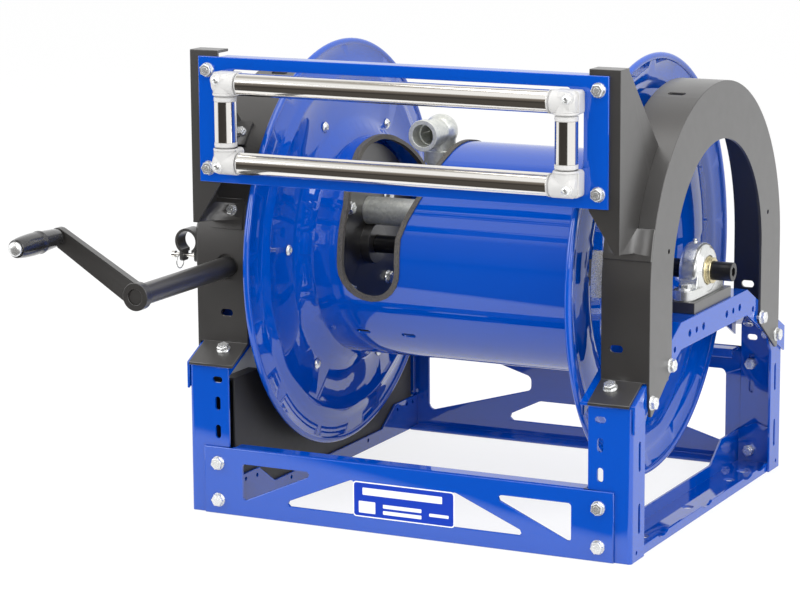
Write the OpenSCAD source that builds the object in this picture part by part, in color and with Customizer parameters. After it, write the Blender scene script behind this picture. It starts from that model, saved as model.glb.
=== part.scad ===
// Fire hose reel with a hand crank: frame, spool, roller guide and drive.
// Millimetres. +X runs right along the spool axis, -Y is the front, +Z is up.
// The origin is the centre of the base on the floor.

/* [Frame] */
// Width over the corner posts
frame_width = 685; // [620:1:760]
// Depth over the corner posts
frame_depth = 605; // [540:1:680]
// Thickness of the frame's bent sheet
sheet = 4; // [3:0.5:6]
// Outside radius of a sheet bend
bend_radius = 6; // [5:0.5:8]
// Width of a post's front plate
post_width = 64; // [50:1:80]
// Depth of a post's side flange
post_flange = 48; // [40:1:60]
// Length of a side slot in a post
post_slot_length = 42; // [20:1:50]
// Width of the slots in the posts
post_slot_width = 9; // [6:0.5:12]
// Height of the front rail
front_rail_height = 98.75; // [80:0.25:115]
// Height of the rear rail
rear_rail_height = 180; // [150:0.5:190]
// Distance of a rail's end to the frame's side
rail_end_inset = 24.5; // [20:0.5:30]
// Depth of a rail's folded top flange
rail_flange = 30; // [15:1:40]
// Depth of the lip that turns down from a rail's top flange
rail_lip = 14; // [8:0.5:16]
// Distance from a rail's face to the inner edge of its foot flange
rail_foot = 35; // [25:0.5:36]
// Distance of the side rails' webs to the frame's side
side_web_inset = 68.5; // [62:0.5:76]
// Height of a side rail's inner web at mid length
side_web_height = 21.5; // [18:0.5:26]
// Height of a side rail's gusset at the posts
side_gusset_height = 52; // [44:1:60]
// Distance of a gusset's start from mid length
side_gusset_start = 176; // [160:1:190]
// Distance from the middle at which a side rail's gusset is at full height
side_gusset_full = 223; // [200:1:240]
// Height of a side rail's outer lip
side_lip_height = 13; // [8:0.5:18]
// Distance of the base holes to the frame's side
base_hole_inset = 34.5; // [26:0.5:42]
// Distance between the first and the last of the three base holes
base_hole_span = 346; // [300:1:380]
// Position of the spare base hole at the rear
base_hole_spare = 231; // [215:1:240]
// Radius of a base hole
base_hole_radius = 9; // [5:0.5:10]
gusset_holes = [[126, 14.5], [230, 42], [264, 44], [284, 44]];

/* [Bearing beams] */
// Height of the beams' flat top
beam_top = 303.5; // [290:0.5:320]
// Half length of the beams' flat top
beam_flat = 133.5; // [120:0.5:150]
// Drop of the sloped legs for each millimetre outwards
leg_slope = 0.5; // [0.4:0.01:0.6]
// Depth of the beams' outer flange
beam_flange = 38.5; // [30:0.5:45]
// Depth of the beams' inner flange
beam_inner_flange = 22; // [10:1:30]
// Width of the right beam
beam_width_right = 80; // [70:1:85]
// Width of the left beam, narrower to pass the bevel gear
beam_width_left = 65; // [60:1:67]
// Spacing of the flange holes along the beam
beam_hole_pitch = 27; // [20:1:30]
// Position of the first flange hole
beam_hole_first = 47; // [40:1:50]
// Height of the flange holes
beam_hole_z = 282.7; // [278:0.1:288]
// Radius of the flange holes
beam_hole_radius = 4.5; // [3:0.5:6]

/* [Bearings] */
// Distance of the bearings' middle to the frame's side
bearing_inset = 22.5; // [20:0.5:26]
// Height of the spool axis
axle_z = 354; // [345:0.5:365]
// Height of the spacer block under a bearing
riser_height = 16; // [10:0.5:20]
// Width of the spacer block
riser_width = 45; // [40:1:48]
// Length of the spacer block
riser_length = 148; // [140:1:150]
// Length of the pillow block's base
pillow_length = 140; // [130:1:146]
// Width of the pillow block's base
pillow_width = 34; // [28:0.5:38]
// Thickness of the pillow block's feet
pillow_foot = 15; // [10:0.5:18]
// Outside radius of the pillow block's barrel
pillow_radius = 39; // [36:0.5:42]
// Distance between the pillow block's bolts
pillow_bolt_span = 105; // [98:0.5:112]
// Wall thickness of the bearing's inner ring
ring_wall = 6.5; // [5:0.5:8]
// Radius added by the locking collar
collar_wall = 9; // [7:0.5:10]
// Width of the locking collar
collar_width = 6; // [4:0.5:7]
// Radial running clearance of all turning pairs
running_gap = 0.05; // [0.02:0.01:0.09]

/* [Spool] */
// Radius of the drum tube
drum_radius = 162; // [150:1:175]
// Wall thickness of the drum tube
drum_wall = 3; // [2:0.5:5]
// Width of a disc's cone between drum and web
disc_cone = 20; // [16:0.5:24]
// Outside radius of the side discs
disc_radius = 305; // [280:1:320]
// Thickness of a side disc
disc_sheet = 2.5; // [2:0.25:4]
// Depth of a disc's dish from web to rim
disc_dish = 13; // [9:0.5:17]
// Distance of the discs' rims to the frame's side
disc_rim_inset = 96.5; // [94:0.5:102]
// Radius of the disc's rolled rim
disc_rim_roll = 5; // [3:0.5:6]
// Radius of the pressed bead in a disc
disc_bead_radius = 259; // [240:1:275]
// Height of the pressed bead
disc_bead_height = 3; // [1:0.5:5]
// Radius of the disc's flare at the web
flare_radius = 186; // [180:1:192]
// Radius of the ring of bolts in a disc
disc_bolt_radius = 201.5; // [196:0.5:210]
// Number of bolts in a disc
disc_bolt_count = 6; // [4:1:8]
// Angle of the first disc bolt from the rear
disc_bolt_angle = 54.5; // [0:0.5:60]
// Distance of the cut-out to the drum's left end
cutout_margin = 45; // [40:1:54]
// Width of the cut-out's round part
cutout_width = 88; // [80:1:96]
// How far the cut-out opens to the right at its top
cutout_open_right = 32; // [24:1:40]
// How far the cut-out opens to the left at its top
cutout_open_left = 19; // [14:1:22]
// Lowest point of the cut-out below the axis
cutout_bottom = 50; // [40:1:60]
// Width of the rubber trim on the cut-out's edge
trim_width = 6; // [4:0.5:8]
// Thickness of the rubber trim over and under the drum wall
trim_lip = 2; // [1:0.5:3]
// Radius of a hub plate inside the drum
hub_plate_radius = 150; // [120:1:156]
// Thickness of a hub plate
hub_plate_thickness = 8; // [5:0.5:12]
// Radius of the ring of bolts in a hub plate
hub_bolt_radius = 88; // [80:1:110]

/* [Axle and water path] */
// Radius of the solid axle
shaft_radius = 13.5; // [12:0.5:15]
// How far the solid axle reaches past the frame's side
shaft_overhang = 30.2; // [24:0.1:40]
// Radius of the hollow axle
pipe_radius = 21; // [20:0.5:22]
// Bore radius of the hollow axle and the water path
water_radius = 16; // [12:0.5:17]
// How far the hollow axle reaches past the frame's side
pipe_overhang = 55.5; // [50:0.5:60]
// Height of the off-centre water pipe above the axis
water_offset = 50; // [46:1:56]
// Distance of the riser left of the centre line
riser_x = 85; // [75:1:95]
// Bend radius of the riser
riser_bend = 36; // [30:1:45]
// Height of the elbow's mouth
outlet_z = 530; // [524:0.5:540]
// Reach of the elbow's mouth to the front
outlet_reach = 62; // [50:1:70]
// Radius of the elbow's mouth rim
outlet_rim = 23; // [20:0.5:26]
// Bore radius of the elbow's mouth
outlet_bore = 16.5; // [14:0.5:18]
// Depth of the elbow's mouth bore
outlet_depth = 24; // [16:1:30]
// Outside radius of the swivel joint
swivel_radius = 33; // [28:0.5:36]
// How far the swivel joint reaches past the frame's side
swivel_overhang = 87.5; // [80:0.5:96]
// Reach of the swivel's inlet to the rear
inlet_reach = 84; // [60:1:100]
// Bore radius of the swivel's inlet
inlet_bore = 19; // [14:0.5:21]
// Depth of the inlet's bore
inlet_depth = 26; // [16:1:34]

/* [Arches] */
// Outside radius of an arch
arch_radius = 262; // [250:1:270]
// Height of an arch's centre
arch_z = 362; // [355:1:370]
// Radial width of an arch's side plate
arch_ring = 82; // [70:1:90]
// Width of the left arch's curved band
arch_band_left = 82; // [70:1:84]
// Width of the right arch's curved band
arch_band_right = 71; // [60:1:84]
// Inner lower corner of an arch's side plate
arch_cut_z = 245; // [240:1:255]
// Height of the arch's lower tip
arch_tip_z = 196; // [192:1:205]
// Reach of the arch's foot tab
arch_foot_y = 308; // [300:1:312]
// Radius of the hole for the crank shaft in the left arch
crank_hole_radius = 19; // [17:0.5:22]

/* [Roller guide] */
// Distance of the guide plate's end to the frame's side
guide_inset = 32; // [28:0.5:38]
// Lower edge of the guide's plate
guide_bottom = 485.5; // [480:0.5:492]
// Upper edge of the guide's plate
guide_top = 662.8; // [655:0.1:670]
// Front face of the guide's plate
guide_face = 316; // [312:0.5:320]
// Distance of the guide plate's window to its end
window_margin = 54.5; // [52:0.5:58]
// Corner radius of the window
window_corner = 4; // [3:0.5:5]
// Distance of the window's widest part to the plate's end
window_wide_margin = 35.5; // [33:0.5:38]
// Height at which the window starts to open out
window_wide_bottom = 530; // [526:0.5:534]
// Height at which the window closes in again
window_wide_top = 618; // [614:0.5:621]
// Lower edge of the window
window_bottom = 508; // [504:0.5:515]
// Upper edge of the window
window_top = 646; // [640:0.5:650]
// Radius of a guide roller
roller_radius = 16; // [13:0.5:17]
// Distance of the long rollers' ends to the guide plate's end
roller_end_margin = 73; // [72.5:0.5:80]
// Height of the top roller's axis
roller_top_z = 628; // [620:0.5:632]
// Height of the bottom roller's axis
roller_bottom_z = 517; // [512:0.5:524]
// Distance of the short rollers to the long rollers' ends
roller_side_gap = 20.5; // [19.5:0.5:22]
// Lower end of the upright rollers
upright_bottom = 538.5; // [536:0.5:545]
// Upper end of the upright rollers
upright_top = 611.5; // [600:0.5:613]
// Distance of the roller axes in front of the plate
roller_stand_off = 17; // [16.5:0.5:20]
// Radius of a roller pin
roller_pin_radius = 4; // [3:0.5:6]
// Width of a corner block
block_width = 39; // [36:0.5:42]
// Depth of a corner block
block_depth = 34; // [30:0.5:36]
// Wall thickness of a bracket's side plate
bracket_sheet = 4; // [3:0.5:5]
// Distance of a roller bracket's outer face to the frame's side
bracket_inset = 16.5; // [14:0.5:20]
// Width of a bracket's front flange
bracket_flange = 45; // [38:0.5:50]

/* [Crank and gears] */
// Distance of the crank's axis to the frame's side
crank_inset = 41.5; // [38:0.5:45]
// Radius of the crank shaft
crank_radius = 15; // [13:0.5:16]
// Length from the crank shaft to the grip
crank_throw = 143.5; // [120:0.5:155]
// Angle of the crank arm above the left horizontal
crank_angle = 31; // [0:1:90]
// Distance of the arm's front face from the centre line
crank_face = 512; // [490:1:520]
// Thickness of the crank arm
crank_arm_thickness = 12; // [8:0.5:16]
// Radius of the arm's boss
crank_boss_radius = 19.5; // [18:0.5:24]
// Radius of the arm's tip
crank_tip_radius = 13; // [11:0.5:15]
// Radius of the grip at its front end
grip_radius = 18; // [15:0.5:21]
// Length of the grip
grip_length = 104; // [90:1:120]
// Radius of the grip's spindle
spindle_radius = 5; // [4:0.5:6]
// Module of the bevel gears
gear_module = 4; // [4:1:4]
// Number of teeth of the pinion
pinion_teeth = 16; // [16:1:16]
// Number of teeth of the large gear
gear_teeth = 48; // [48:1:48]
// Face width of the bevel gears
gear_face = 20; // [14:1:24]
// Distance of the crank's bearing pedestal from the centre line
pedestal_y = 122; // [120:0.5:123]

/* [Clip, brake and drive] */
// Height of the stow clip's axis
clip_z = 384; // [380:0.5:390]
// Distance of the stow clip to the front
clip_y = 240; // [232:1:246]
// Bore radius of the stow clip
clip_bore = 15; // [13:0.5:16]
// Wall thickness of the stow clip
clip_wall = 4; // [3:0.5:5]
// Length of the stow clip along its axis
clip_length = 24; // [16:1:30]
// Radius of the lock pin
lock_pin_radius = 3; // [2.5:0.25:4]
// Mean radius of the pull ring
pull_ring_radius = 10; // [8:0.5:14]
// Wire radius of the pull ring
pull_ring_wire = 1; // [0.8:0.1:1.2]
// Height of the brake bracket's middle
brake_z = 386; // [370:1:400]
// Gap between the brake pad and the disc's rim
brake_gap = 16; // [12:0.5:20]
// Upper edge of the inner guard panel
guard_top = 197; // [190:1:199]
// Depth of the inner guard's top flange
guard_flange = 20; // [15:0.5:24]
// Thickness of the inner guard
guard_sheet = 3; // [2:0.1:3.2]
// Radius of the drive motor's mounting flange
motor_flange = 58; // [56:0.5:62]
// Radius of the drive motor
motor_radius = 48; // [35:1:52]
// Height of the drive motor's axis
motor_z = 192; // [180:1:210]
// Distance of the drive motor to the front
motor_y = 150; // [120:1:180]

/* [Fasteners] */
// Shank radius of the large bolts
bolt_radius = 5; // [4:0.5:6]
// Clearance between a bolt's shank and its hole
bolt_gap = 0.5; // [0.3:0.1:1]
// Distance across the flats of a large bolt's head
bolt_flats = 16; // [13:0.5:19]
// Radius of a large bolt's washer flange
bolt_flange = 10.5; // [9:0.5:12]
// Radius of the small screws' heads
screw_head = 6.5; // [5:0.5:8]

/* [Hidden] */
$fn = 48;
half_width = frame_width / 2;
half_depth = frame_depth / 2;
rail_half_length = half_width - rail_end_inset;
side_web_x = half_width - side_web_inset;
base_hole_x = half_width - base_hole_inset;
bearing_x = half_width - bearing_inset;
disc_rim_x = half_width - disc_rim_inset;
disc_web_x = disc_rim_x - disc_dish;
drum_half = disc_web_x - disc_cone;
cutout_left = cutout_margin - drum_half;
cutout_right = cutout_left + cutout_width;
cutout_top_right = cutout_right + cutout_open_right;
cutout_top_left = cutout_left - cutout_open_left;
shaft_end = half_width + shaft_overhang;
pipe_end = half_width + pipe_overhang;
swivel_end = half_width + swivel_overhang;
guide_half_width = half_width - guide_inset;
window_half_width = guide_half_width - window_margin;
window_wide_half = guide_half_width - window_wide_margin;
roller_half_length = guide_half_width - roller_end_margin;
roller_side_x = roller_half_length + roller_side_gap;
bracket_x = half_width - bracket_inset;
bracket_top = guide_top + 8.2;
crank_x = half_width - crank_inset;
brake_x = disc_rim_x + brake_gap;
guard_end = half_depth - 16.5;
beam_outer = half_width + sheet;
arch_outer = beam_outer + sheet;
rail_face = half_depth + sheet;
leg_angle = atan(leg_slope);
sheet_drop = sheet / cos(leg_angle);
post_plate_x = half_width - post_width;
bolt_hole = bolt_radius + bolt_gap;
front_bolt_z = [20.6, 75];
rear_bolt_z = [21, 156];
rail_bolt_x = half_width - 47.1;
base_hole_ys = [-base_hole_span / 2, 0, base_hole_span / 2, base_hole_spare];
arch_bolts_yz = [[184.5, 253.5], [252.5, 215]];
foot_bolt_y = 275;
foot_bolt_x = half_width - 42.5;
arch_slot_x = half_width - 40.5;
riser_top = beam_top + riser_height;
arch_inner = arch_radius - arch_ring;
ring_right = shaft_radius + ring_wall;
ring_left = pipe_radius + ring_wall;
hub_x = drum_half - hub_plate_thickness;
manifold_left = drum_half + 35;
guide_back = guide_face - sheet;
roller_y = guide_face + roller_stand_off;
pedestal_bolt_x = 11;
tab_bolt_x = half_width - 48;
tab_bolt_z = 435;
upper_bolt_x = bracket_x - bracket_sheet - 12;
upper_bolt_z = arch_z + arch_radius * sin(42);
guide_bolt_x = guide_half_width - 14.5;
guide_bolts = [[guide_bolt_x, guide_bottom + 19.7], [guide_bolt_x, guide_top - 19]];
block_screw_x = roller_side_x + 6;
block_screws = [[block_screw_x, 513], [block_screw_x, 634]];
block_rows = [[501.5, 538], [612, 644]];
bracket_fit = 0.3;
pitch_pinion = gear_module * pinion_teeth / 2;
pitch_gear = gear_module * gear_teeth / 2;
cone_length = norm([pitch_pinion, pitch_gear]);
cone_pinion = atan(pitch_pinion / pitch_gear);
cone_gear = 90 - cone_pinion;
gear_shrink = 1 - gear_face / cone_length;
gear_back = 51;
crank_back = 78;
pin_z = clip_z - clip_bore - clip_wall - 3;
clip_x = arch_outer + 4 + clip_bore + clip_wall;
jaw_x = [clip_x - 13, clip_x + 11];
pin_tip = arch_outer + 3;
pin_end = pin_tip + 46;
ring_hole_x = pin_end - 8;

// Extrusions of flat shapes: the shape's axes are the two that are not swept.
module along_x(x0, x1) {
  translate([x0, 0, 0]) rotate([90, 0, 90]) linear_extrude(x1 - x0) children();
}

module along_y(y0, y1) {
  translate([0, y1, 0]) rotate([90, 0, 0]) linear_extrude(y1 - y0) children();
}

module along_z(z0, z1) {
  translate([0, 0, z0]) linear_extrude(z1 - z0) children();
}

module rod_x(x0, x1, r, y = 0, z = 0) {
  translate([x0, y, z]) rotate([0, 90, 0]) cylinder(h = x1 - x0, r = r);
}

module rod_y(y0, y1, r, x = 0, z = 0) {
  translate([x, y1, z]) rotate([90, 0, 0]) cylinder(h = y1 - y0, r = r);
}

module rod_z(z0, z1, r, x = 0, y = 0) {
  translate([x, y, z0]) cylinder(h = z1 - z0, r = r);
}

// Both hands of a piece drawn on the right or at the front.
module hand_x(side) {
  scale([side, 1, 1]) children();
}

module both_x() {
  for (side = [-1, 1]) scale([side, 1, 1]) children();
}

module both_y() {
  for (side = [-1, 1]) scale([1, side, 1]) children();
}

module all_four() {
  both_x() both_y() children();
}

// Flat slot with round ends, standing along the second axis.
module slot_upright(length, width) {
  square([width, length - width], center = true);
  for (end = [-1, 1]) translate([0, end * (length - width) / 2]) circle(d = width);
}

// Points of a polygon with every corner rounded by the radius r.
function corner_points(a, b, c, r, steps) =
  let (
    u = (a - b) / norm(a - b),
    v = (c - b) / norm(c - b),
    half = acos(u * v) / 2,
    bis = (u + v) / norm(u + v),
    mid = b + bis * r / sin(half),
    p = b + u * r / tan(half) - mid,
    q = b + v * r / tan(half) - mid
  )
  [for (i = [0:steps])
    let (t = i / steps, w = p * (1 - t) + q * t) mid + w / norm(w) * r];

function rounded(points, r, steps = 4) =
  let (n = len(points))
  [for (i = [0:n - 1])
    each corner_points(points[(i + n - 1) % n], points[i], points[(i + 1) % n], r, steps)];

// Angle above the horizontal of a height on the front of an arch's curved band.
function band_angle(z) = asin((z - arch_z) / arch_radius);

// Puts a piece on the outside of an arch's band, its first axis kept.
module on_band(x, z) {
  translate([x, 0, arch_z]) rotate([90 - band_angle(z), 0, 0])
    translate([0, 0, arch_radius]) children();
}

module band_hole(x, z) {
  on_band(x, z) translate([0, 0, -12]) cylinder(h = 30, r = 4.5);
}

// Top surface of the sloped legs at a distance from the centre line.
function leg_z(y) = beam_top - leg_slope * max(0, y - beam_flat);

// Hexagonal bolt with a washer flange: head above z = 0, nut below the grip.
module hex_bolt(grip) {
  head = bolt_flats / sqrt(3);
  cylinder(h = 1.8, r = bolt_flange);
  cylinder(h = 8, r = head, $fn = 6);
  translate([0, 0, -grip - 10]) cylinder(h = grip + 10.5, r = bolt_radius);
  translate([0, 0, -grip - 8]) cylinder(h = 8, r = head, $fn = 6);
}

// Socket screw with a domed head: head above z = 0, shank below.
module dome_screw(length, head = screw_head) {
  difference() {
    rotate_extrude() intersection() {
      translate([0, -head * 0.6]) circle(r = head * 1.17);
      square([head, head]);
    }
    translate([0, 0, head * 0.25]) cylinder(h = head, r = head * 0.42, $fn = 6);
  }
  translate([0, 0, -length]) cylinder(h = length + 0.2, r = head * 0.5);
}

// Frame ---------------------------------------------------------------------

module rail_holes(bolt_zs) {
  both_x() for (z = bolt_zs) rod_y(0, frame_depth, bolt_hole, rail_bolt_x, z);
}

module front_rail() color("RoyalBlue") {
  difference() {
    union() {
      along_y(-rail_face, -half_depth)
        translate([-rail_half_length, 0]) square([rail_half_length * 2, front_rail_height]);
      along_x(-side_web_x + 2, side_web_x - 2) rail_section(front_rail_height);
    }
    scale([1, -1, 1]) rail_holes(front_bolt_z);
    both_x() {
      along_y(-rail_face - 1, -half_depth + 1) {
        polygon(rounded([[86.5 - half_width, 22], [86.5 - half_width, 77], [-132, 77]], 4));
        polygon(rounded([[-198, 23.5], [-76, 75], [-76, 23.5]], 4));
      }
    }
  }
}

// Section of a rail's rounded top fold: front face, bend and flange.
module rail_section(height) {
  r = bend_radius;
  face = rail_face;
  translate([-face, 0]) square([rail_foot, sheet]);
  translate([-face + rail_flange - sheet, height - rail_lip])
    square([sheet, rail_lip - 0.5]);
  difference() {
    union() {
      translate([-face, height - 20]) square([sheet, 20 - r]);
      translate([-face + r, height - sheet]) square([rail_flange - r, sheet]);
      translate([-face + r, height - r]) circle(r = r);
    }
    translate([-face + sheet, height - 21]) square([rail_flange, 21 - r]);
    translate([-face + r, height - r]) circle(r = r - sheet);
    translate([-face + r, height - sheet - 20]) square([rail_flange, 20]);
    translate([-face + sheet, height - r - 1]) square([r - sheet, 1]);
  }
}

module rear_rail() color("RoyalBlue") {
  difference() {
    union() {
      along_y(half_depth, rail_face)
        translate([-rail_half_length, 0]) square([rail_half_length * 2, rear_rail_height]);
      scale([1, -1, 1]) along_x(-side_web_x + 2, side_web_x - 2)
        rail_section(rear_rail_height);
    }
    rail_holes(rear_bolt_z);
    along_y(half_depth - 1, rail_face + 1) {
      for (side = [-1, 1]) scale([side, 1])
        polygon(rounded(
          [[89.5 - half_width, 27.5], [89.5 - half_width, 143], [119.5 - half_width, 143],
            [-73, 99], [-73, 78]], 8));
      polygon(rounded([[-130, 26], [130, 26], [58, 61], [-58, 61]], 6));
    }
  }
}

module base_rail() {
  web = side_web_x;
  lip_x = half_width - sheet;
  lip_end = half_depth - 9;
  trim = sheet + 2;
  difference() {
    union() {
      along_z(0, sheet)
        translate([web, -half_depth]) square([lip_x - web, half_depth * 2]);
      along_x(web, web + sheet)
        polygon([
          [-half_depth, 0], [half_depth, 0], [half_depth, side_gusset_height],
          [side_gusset_full, side_gusset_height], [side_gusset_start, side_web_height],
          [-side_gusset_start, side_web_height], [-side_gusset_full, side_gusset_height],
          [-half_depth, side_gusset_height]
        ]);
      both_y() along_y(half_depth - 2 * sheet, half_depth - sheet) gusset_tab_outline();
      along_x(lip_x - sheet, lip_x)
        translate([-lip_end, 0]) square([lip_end * 2, side_lip_height]);
    }
    for (y = base_hole_ys) {
      rod_z(-1, sheet + 1, base_hole_radius, base_hole_x, y);
      along_x(lip_x - sheet - 1, lip_x + 1)
        translate([y, side_lip_height + 2]) scale([3, 1]) circle(r = 7);
    }
    both_y() rod_y(half_depth - 3 * sheet, half_depth, bolt_hole, rail_bolt_x, front_bolt_z[0]);
    all_four() {
      translate([post_plate_x - 0.3, half_depth - sheet, -1])
        cube([post_width + 2, sheet + 1, frame_depth]);
      translate([lip_x - 3, half_depth - trim - 1, -1]) cube([4, 4, frame_depth]);
    }
  }
}

// Tab of a side rail that lies on a post, x and z.
module gusset_tab_outline() polygon([
  [side_web_x, 0], [side_web_x, side_gusset_height], [side_web_x + 32, side_gusset_height + 13],
  [half_width - 14.5, side_gusset_height + 7], [half_width - 12.5, 0]
]);

module base_rail_left() color("RoyalBlue") hand_x(-1) difference() {
  base_rail();
  both_y() for (p = gusset_holes)
    rod_x(side_web_x - 1, side_web_x + sheet + 1, 3.2, p[0], p[1]);
}
module base_rail_right() color("RoyalBlue") hand_x(1) base_rail();

// Outline of a post's side flange, with an ear that reaches the arch's bolt.
module post_side_outline() {
  ear = half_depth - 241;
  polygon([
    [half_depth - post_flange, 0], [half_depth, 0], [half_depth, post_top(half_depth)],
    [half_depth - ear, post_top(half_depth - ear)], [half_depth - ear, 205],
    [half_depth - post_flange, 188]
  ]);
}

function post_top(y) = leg_z(y) - sheet_drop;

// Corner post drawn at the right front, y measured towards the front.
module post_body() {
  r = bend_radius;
  difference() {
    intersection() {
      union() {
        along_z(0, beam_top) difference() {
          union() {
            translate([post_plate_x, half_depth - sheet]) square([post_width - r, sheet]);
            translate([half_width - sheet, 0]) square([sheet, half_depth - r]);
            translate([half_width - r, half_depth - r]) circle(r = r);
          }
          translate([half_width - r, half_depth - r]) circle(r = r - sheet);
          translate([half_width - r - 30, half_depth - r]) square([30, r - sheet]);
          translate([half_width - r, half_depth - r - 30]) square([r - sheet, 30]);
          translate([post_plate_x, 0]) square([post_width - r, half_depth - r]);
        }
      }
      union() {
        along_x(half_width - sheet - 0.01, half_width + 1) post_side_outline();
        along_x(post_plate_x - 1, half_width - sheet)
          polygon([
            [half_depth - r - 1, 0], [half_depth, 0], [half_depth, post_top(half_depth)],
            [half_depth - r - 1, post_top(half_depth - r - 1)]
          ]);
      }
    }
    along_y(half_depth - sheet - 1, half_depth + 1) {
      translate([half_width - 46, 197]) rotate(90) slot_upright(16, post_slot_width);
      for (z = [120.5, 162]) translate([half_width - 46, z]) slot_upright(20, post_slot_width);
    }
    along_x(half_width - sheet - 1, half_width + 1) {
      for (z = [58, 144.5]) translate([274, z]) slot_upright(post_slot_length, 7);
      translate([283, 12]) circle(r = 3);
    }
    rod_x(half_width - 20, half_width + 1, bolt_hole, arch_bolts_yz[1][0], arch_bolts_yz[1][1]);
  }
}

module post_front() scale([1, -1, 1]) difference() {
  post_body();
  for (z = front_bolt_z) rod_y(0, frame_depth, bolt_hole, rail_bolt_x, z);
}

module post_rear() difference() {
  post_body();
  for (z = rear_bolt_z) rod_y(0, frame_depth, bolt_hole, rail_bolt_x, z);
}

module post_front_left() color("RoyalBlue") hand_x(-1) post_front();
module post_front_right() color("RoyalBlue") hand_x(1) post_front();
module post_rear_left() color("RoyalBlue") hand_x(-1) post_rear();
module post_rear_right() color("RoyalBlue") hand_x(1) post_rear();

// Strip of a beam: the upper surface, lowered by a depth at its underside.
module beam_strip(depth) {
  end = half_depth;
  top = [[-end, leg_z(end)], [-beam_flat, beam_top], [beam_flat, beam_top], [end, leg_z(end)]];
  low = [for (i = [3:-1:0]) top[i] - [0, depth]];
  polygon(concat(top, low));
}

module bearing_beam(width) {
  inner = beam_outer - width;
  difference() {
    union() {
      along_x(inner, beam_outer) beam_strip(sheet_drop);
      along_x(half_width, beam_outer) beam_strip(beam_flange);
      intersection() {
        along_x(inner, inner + sheet) beam_strip(beam_inner_flange);
        translate([0, 6 - half_depth, 0]) cube([frame_width, (half_depth - 6) * 2, frame_depth]);
      }
    }
    both_y() {
      for (i = [0:2])
        rod_x(half_width - 1, beam_outer + 1, beam_hole_radius + (i == 1 ? 0 : 1),
          beam_hole_first + i * beam_hole_pitch, beam_hole_z);
      rod_x(half_width - 1, beam_outer + 1, beam_hole_radius, 158, 270);
      for (p = arch_bolts_yz) rod_x(half_width - 1, beam_outer + 1, bolt_hole, p[0], p[1]);
      rod_z(0, beam_top + 1, bolt_hole, bearing_x, pillow_bolt_span / 2);
      translate([foot_bolt_x, foot_bolt_y, leg_z(foot_bolt_y)]) rotate([-leg_angle, 0, 0])
        translate([0, 0, -15]) cylinder(h = 30, r = bolt_hole);
    }
  }
}

module bearing_beam_left() color("RoyalBlue") difference() {
  hand_x(-1) bearing_beam(beam_width_left);
  for (end = [-1, 1])
    rod_z(beam_top - 10, beam_top + 1, 3, -crank_x + end * pedestal_bolt_x, -pedestal_y);
}

module bearing_beam_right() color("RoyalBlue") hand_x(1) bearing_beam(beam_width_right);

// Bearings ------------------------------------------------------------------

module bearing_riser() difference() {
  along_z(beam_top, riser_top) translate([bearing_x, 0])
    square([riser_width, riser_length], center = true);
  both_y() rod_z(beam_top - 1, riser_top + 1, bolt_hole, bearing_x, pillow_bolt_span / 2);
}

module bearing_riser_left() color("DimGray") hand_x(-1) bearing_riser();
module bearing_riser_right() color("DimGray") hand_x(1) bearing_riser();

module pillow_block(ring) {
  x0 = bearing_x - pillow_width / 2;
  x1 = bearing_x + pillow_width / 2;
  foot_top = riser_top + pillow_foot;
  difference() {
    union() {
      along_z(riser_top, foot_top) translate([bearing_x, 0]) {
        square([pillow_width, pillow_length - 16], center = true);
        for (end = [-1, 1]) translate([0, end * (pillow_length / 2 - 8)])
          intersection() {
            square([pillow_width, 16], center = true);
            circle(r = pillow_width / 2 + 1);
          }
      }
      intersection() {
        union() {
          rod_x(x0 + 2, x1 - 2, pillow_radius, 0, axle_z);
          rod_x(x0, x1, pillow_radius - 3, 0, axle_z);
          along_x(x0 + 4, x1 - 4)
            polygon([[-41, foot_top - 1], [41, foot_top - 1], [32, axle_z + 12], [-32, axle_z + 12]]);
        }
        translate([0, -100, riser_top]) cube([400, 200, 200]);
      }
      rod_z(axle_z + pillow_radius - 3, axle_z + pillow_radius + 5, 4, bearing_x - 6, 0);
    }
    rod_x(x0 - 1, x1 + 1, ring + running_gap, 0, axle_z);
    both_y() {
      rod_z(riser_top - 1, foot_top + 1, bolt_hole + 0.5, bearing_x, pillow_bolt_span / 2);
    }
  }
}

module pillow_block_left() color("Silver") hand_x(-1) pillow_block(ring_left);
module pillow_block_right() color("Silver") hand_x(1) pillow_block(ring_right);

module bearing_bolts() color("LightGray") {
  all_four() translate([bearing_x, pillow_bolt_span / 2, riser_top + pillow_foot])
    hex_bolt(pillow_foot + riser_height + sheet_drop);
  scale([-1, 1, 1]) {
    both_y() translate([arch_outer, beam_hole_first, beam_hole_z]) rotate([0, 90, 0])
      scale(0.8) hex_bolt(2.5 * sheet);
    translate([crank_x, -pedestal_y, beam_top]) {
      for (end = [-1, 1]) translate([end * pedestal_bolt_x, 0, -sheet_drop])
        rotate([180, 0, 0]) dome_screw(14, 4.2);
    }
  }
}

module bearing_ring(radius, ring) {
  x0 = bearing_x - pillow_width / 2;
  x1 = bearing_x + pillow_width / 2;
  difference() {
    union() {
      rod_x(x0 - 2, x1 + 1, ring, 0, axle_z);
      rod_x(x1 + 0.5, x1 + 0.5 + collar_width, radius + collar_wall, 0, axle_z);
    }
    rod_x(x0 - 3, x1 + collar_width + 2, radius, 0, axle_z);
    translate([x1 + collar_width / 2 + 0.5, 0, axle_z])
      cylinder(h = radius + collar_wall + 1, r = 1.8);
  }
}

module locking_collars() color("Goldenrod") {
  bearing_ring(shaft_radius, ring_right);
  scale([-1, 1, 1]) bearing_ring(pipe_radius, ring_left);
}

// Arches --------------------------------------------------------------------

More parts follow.
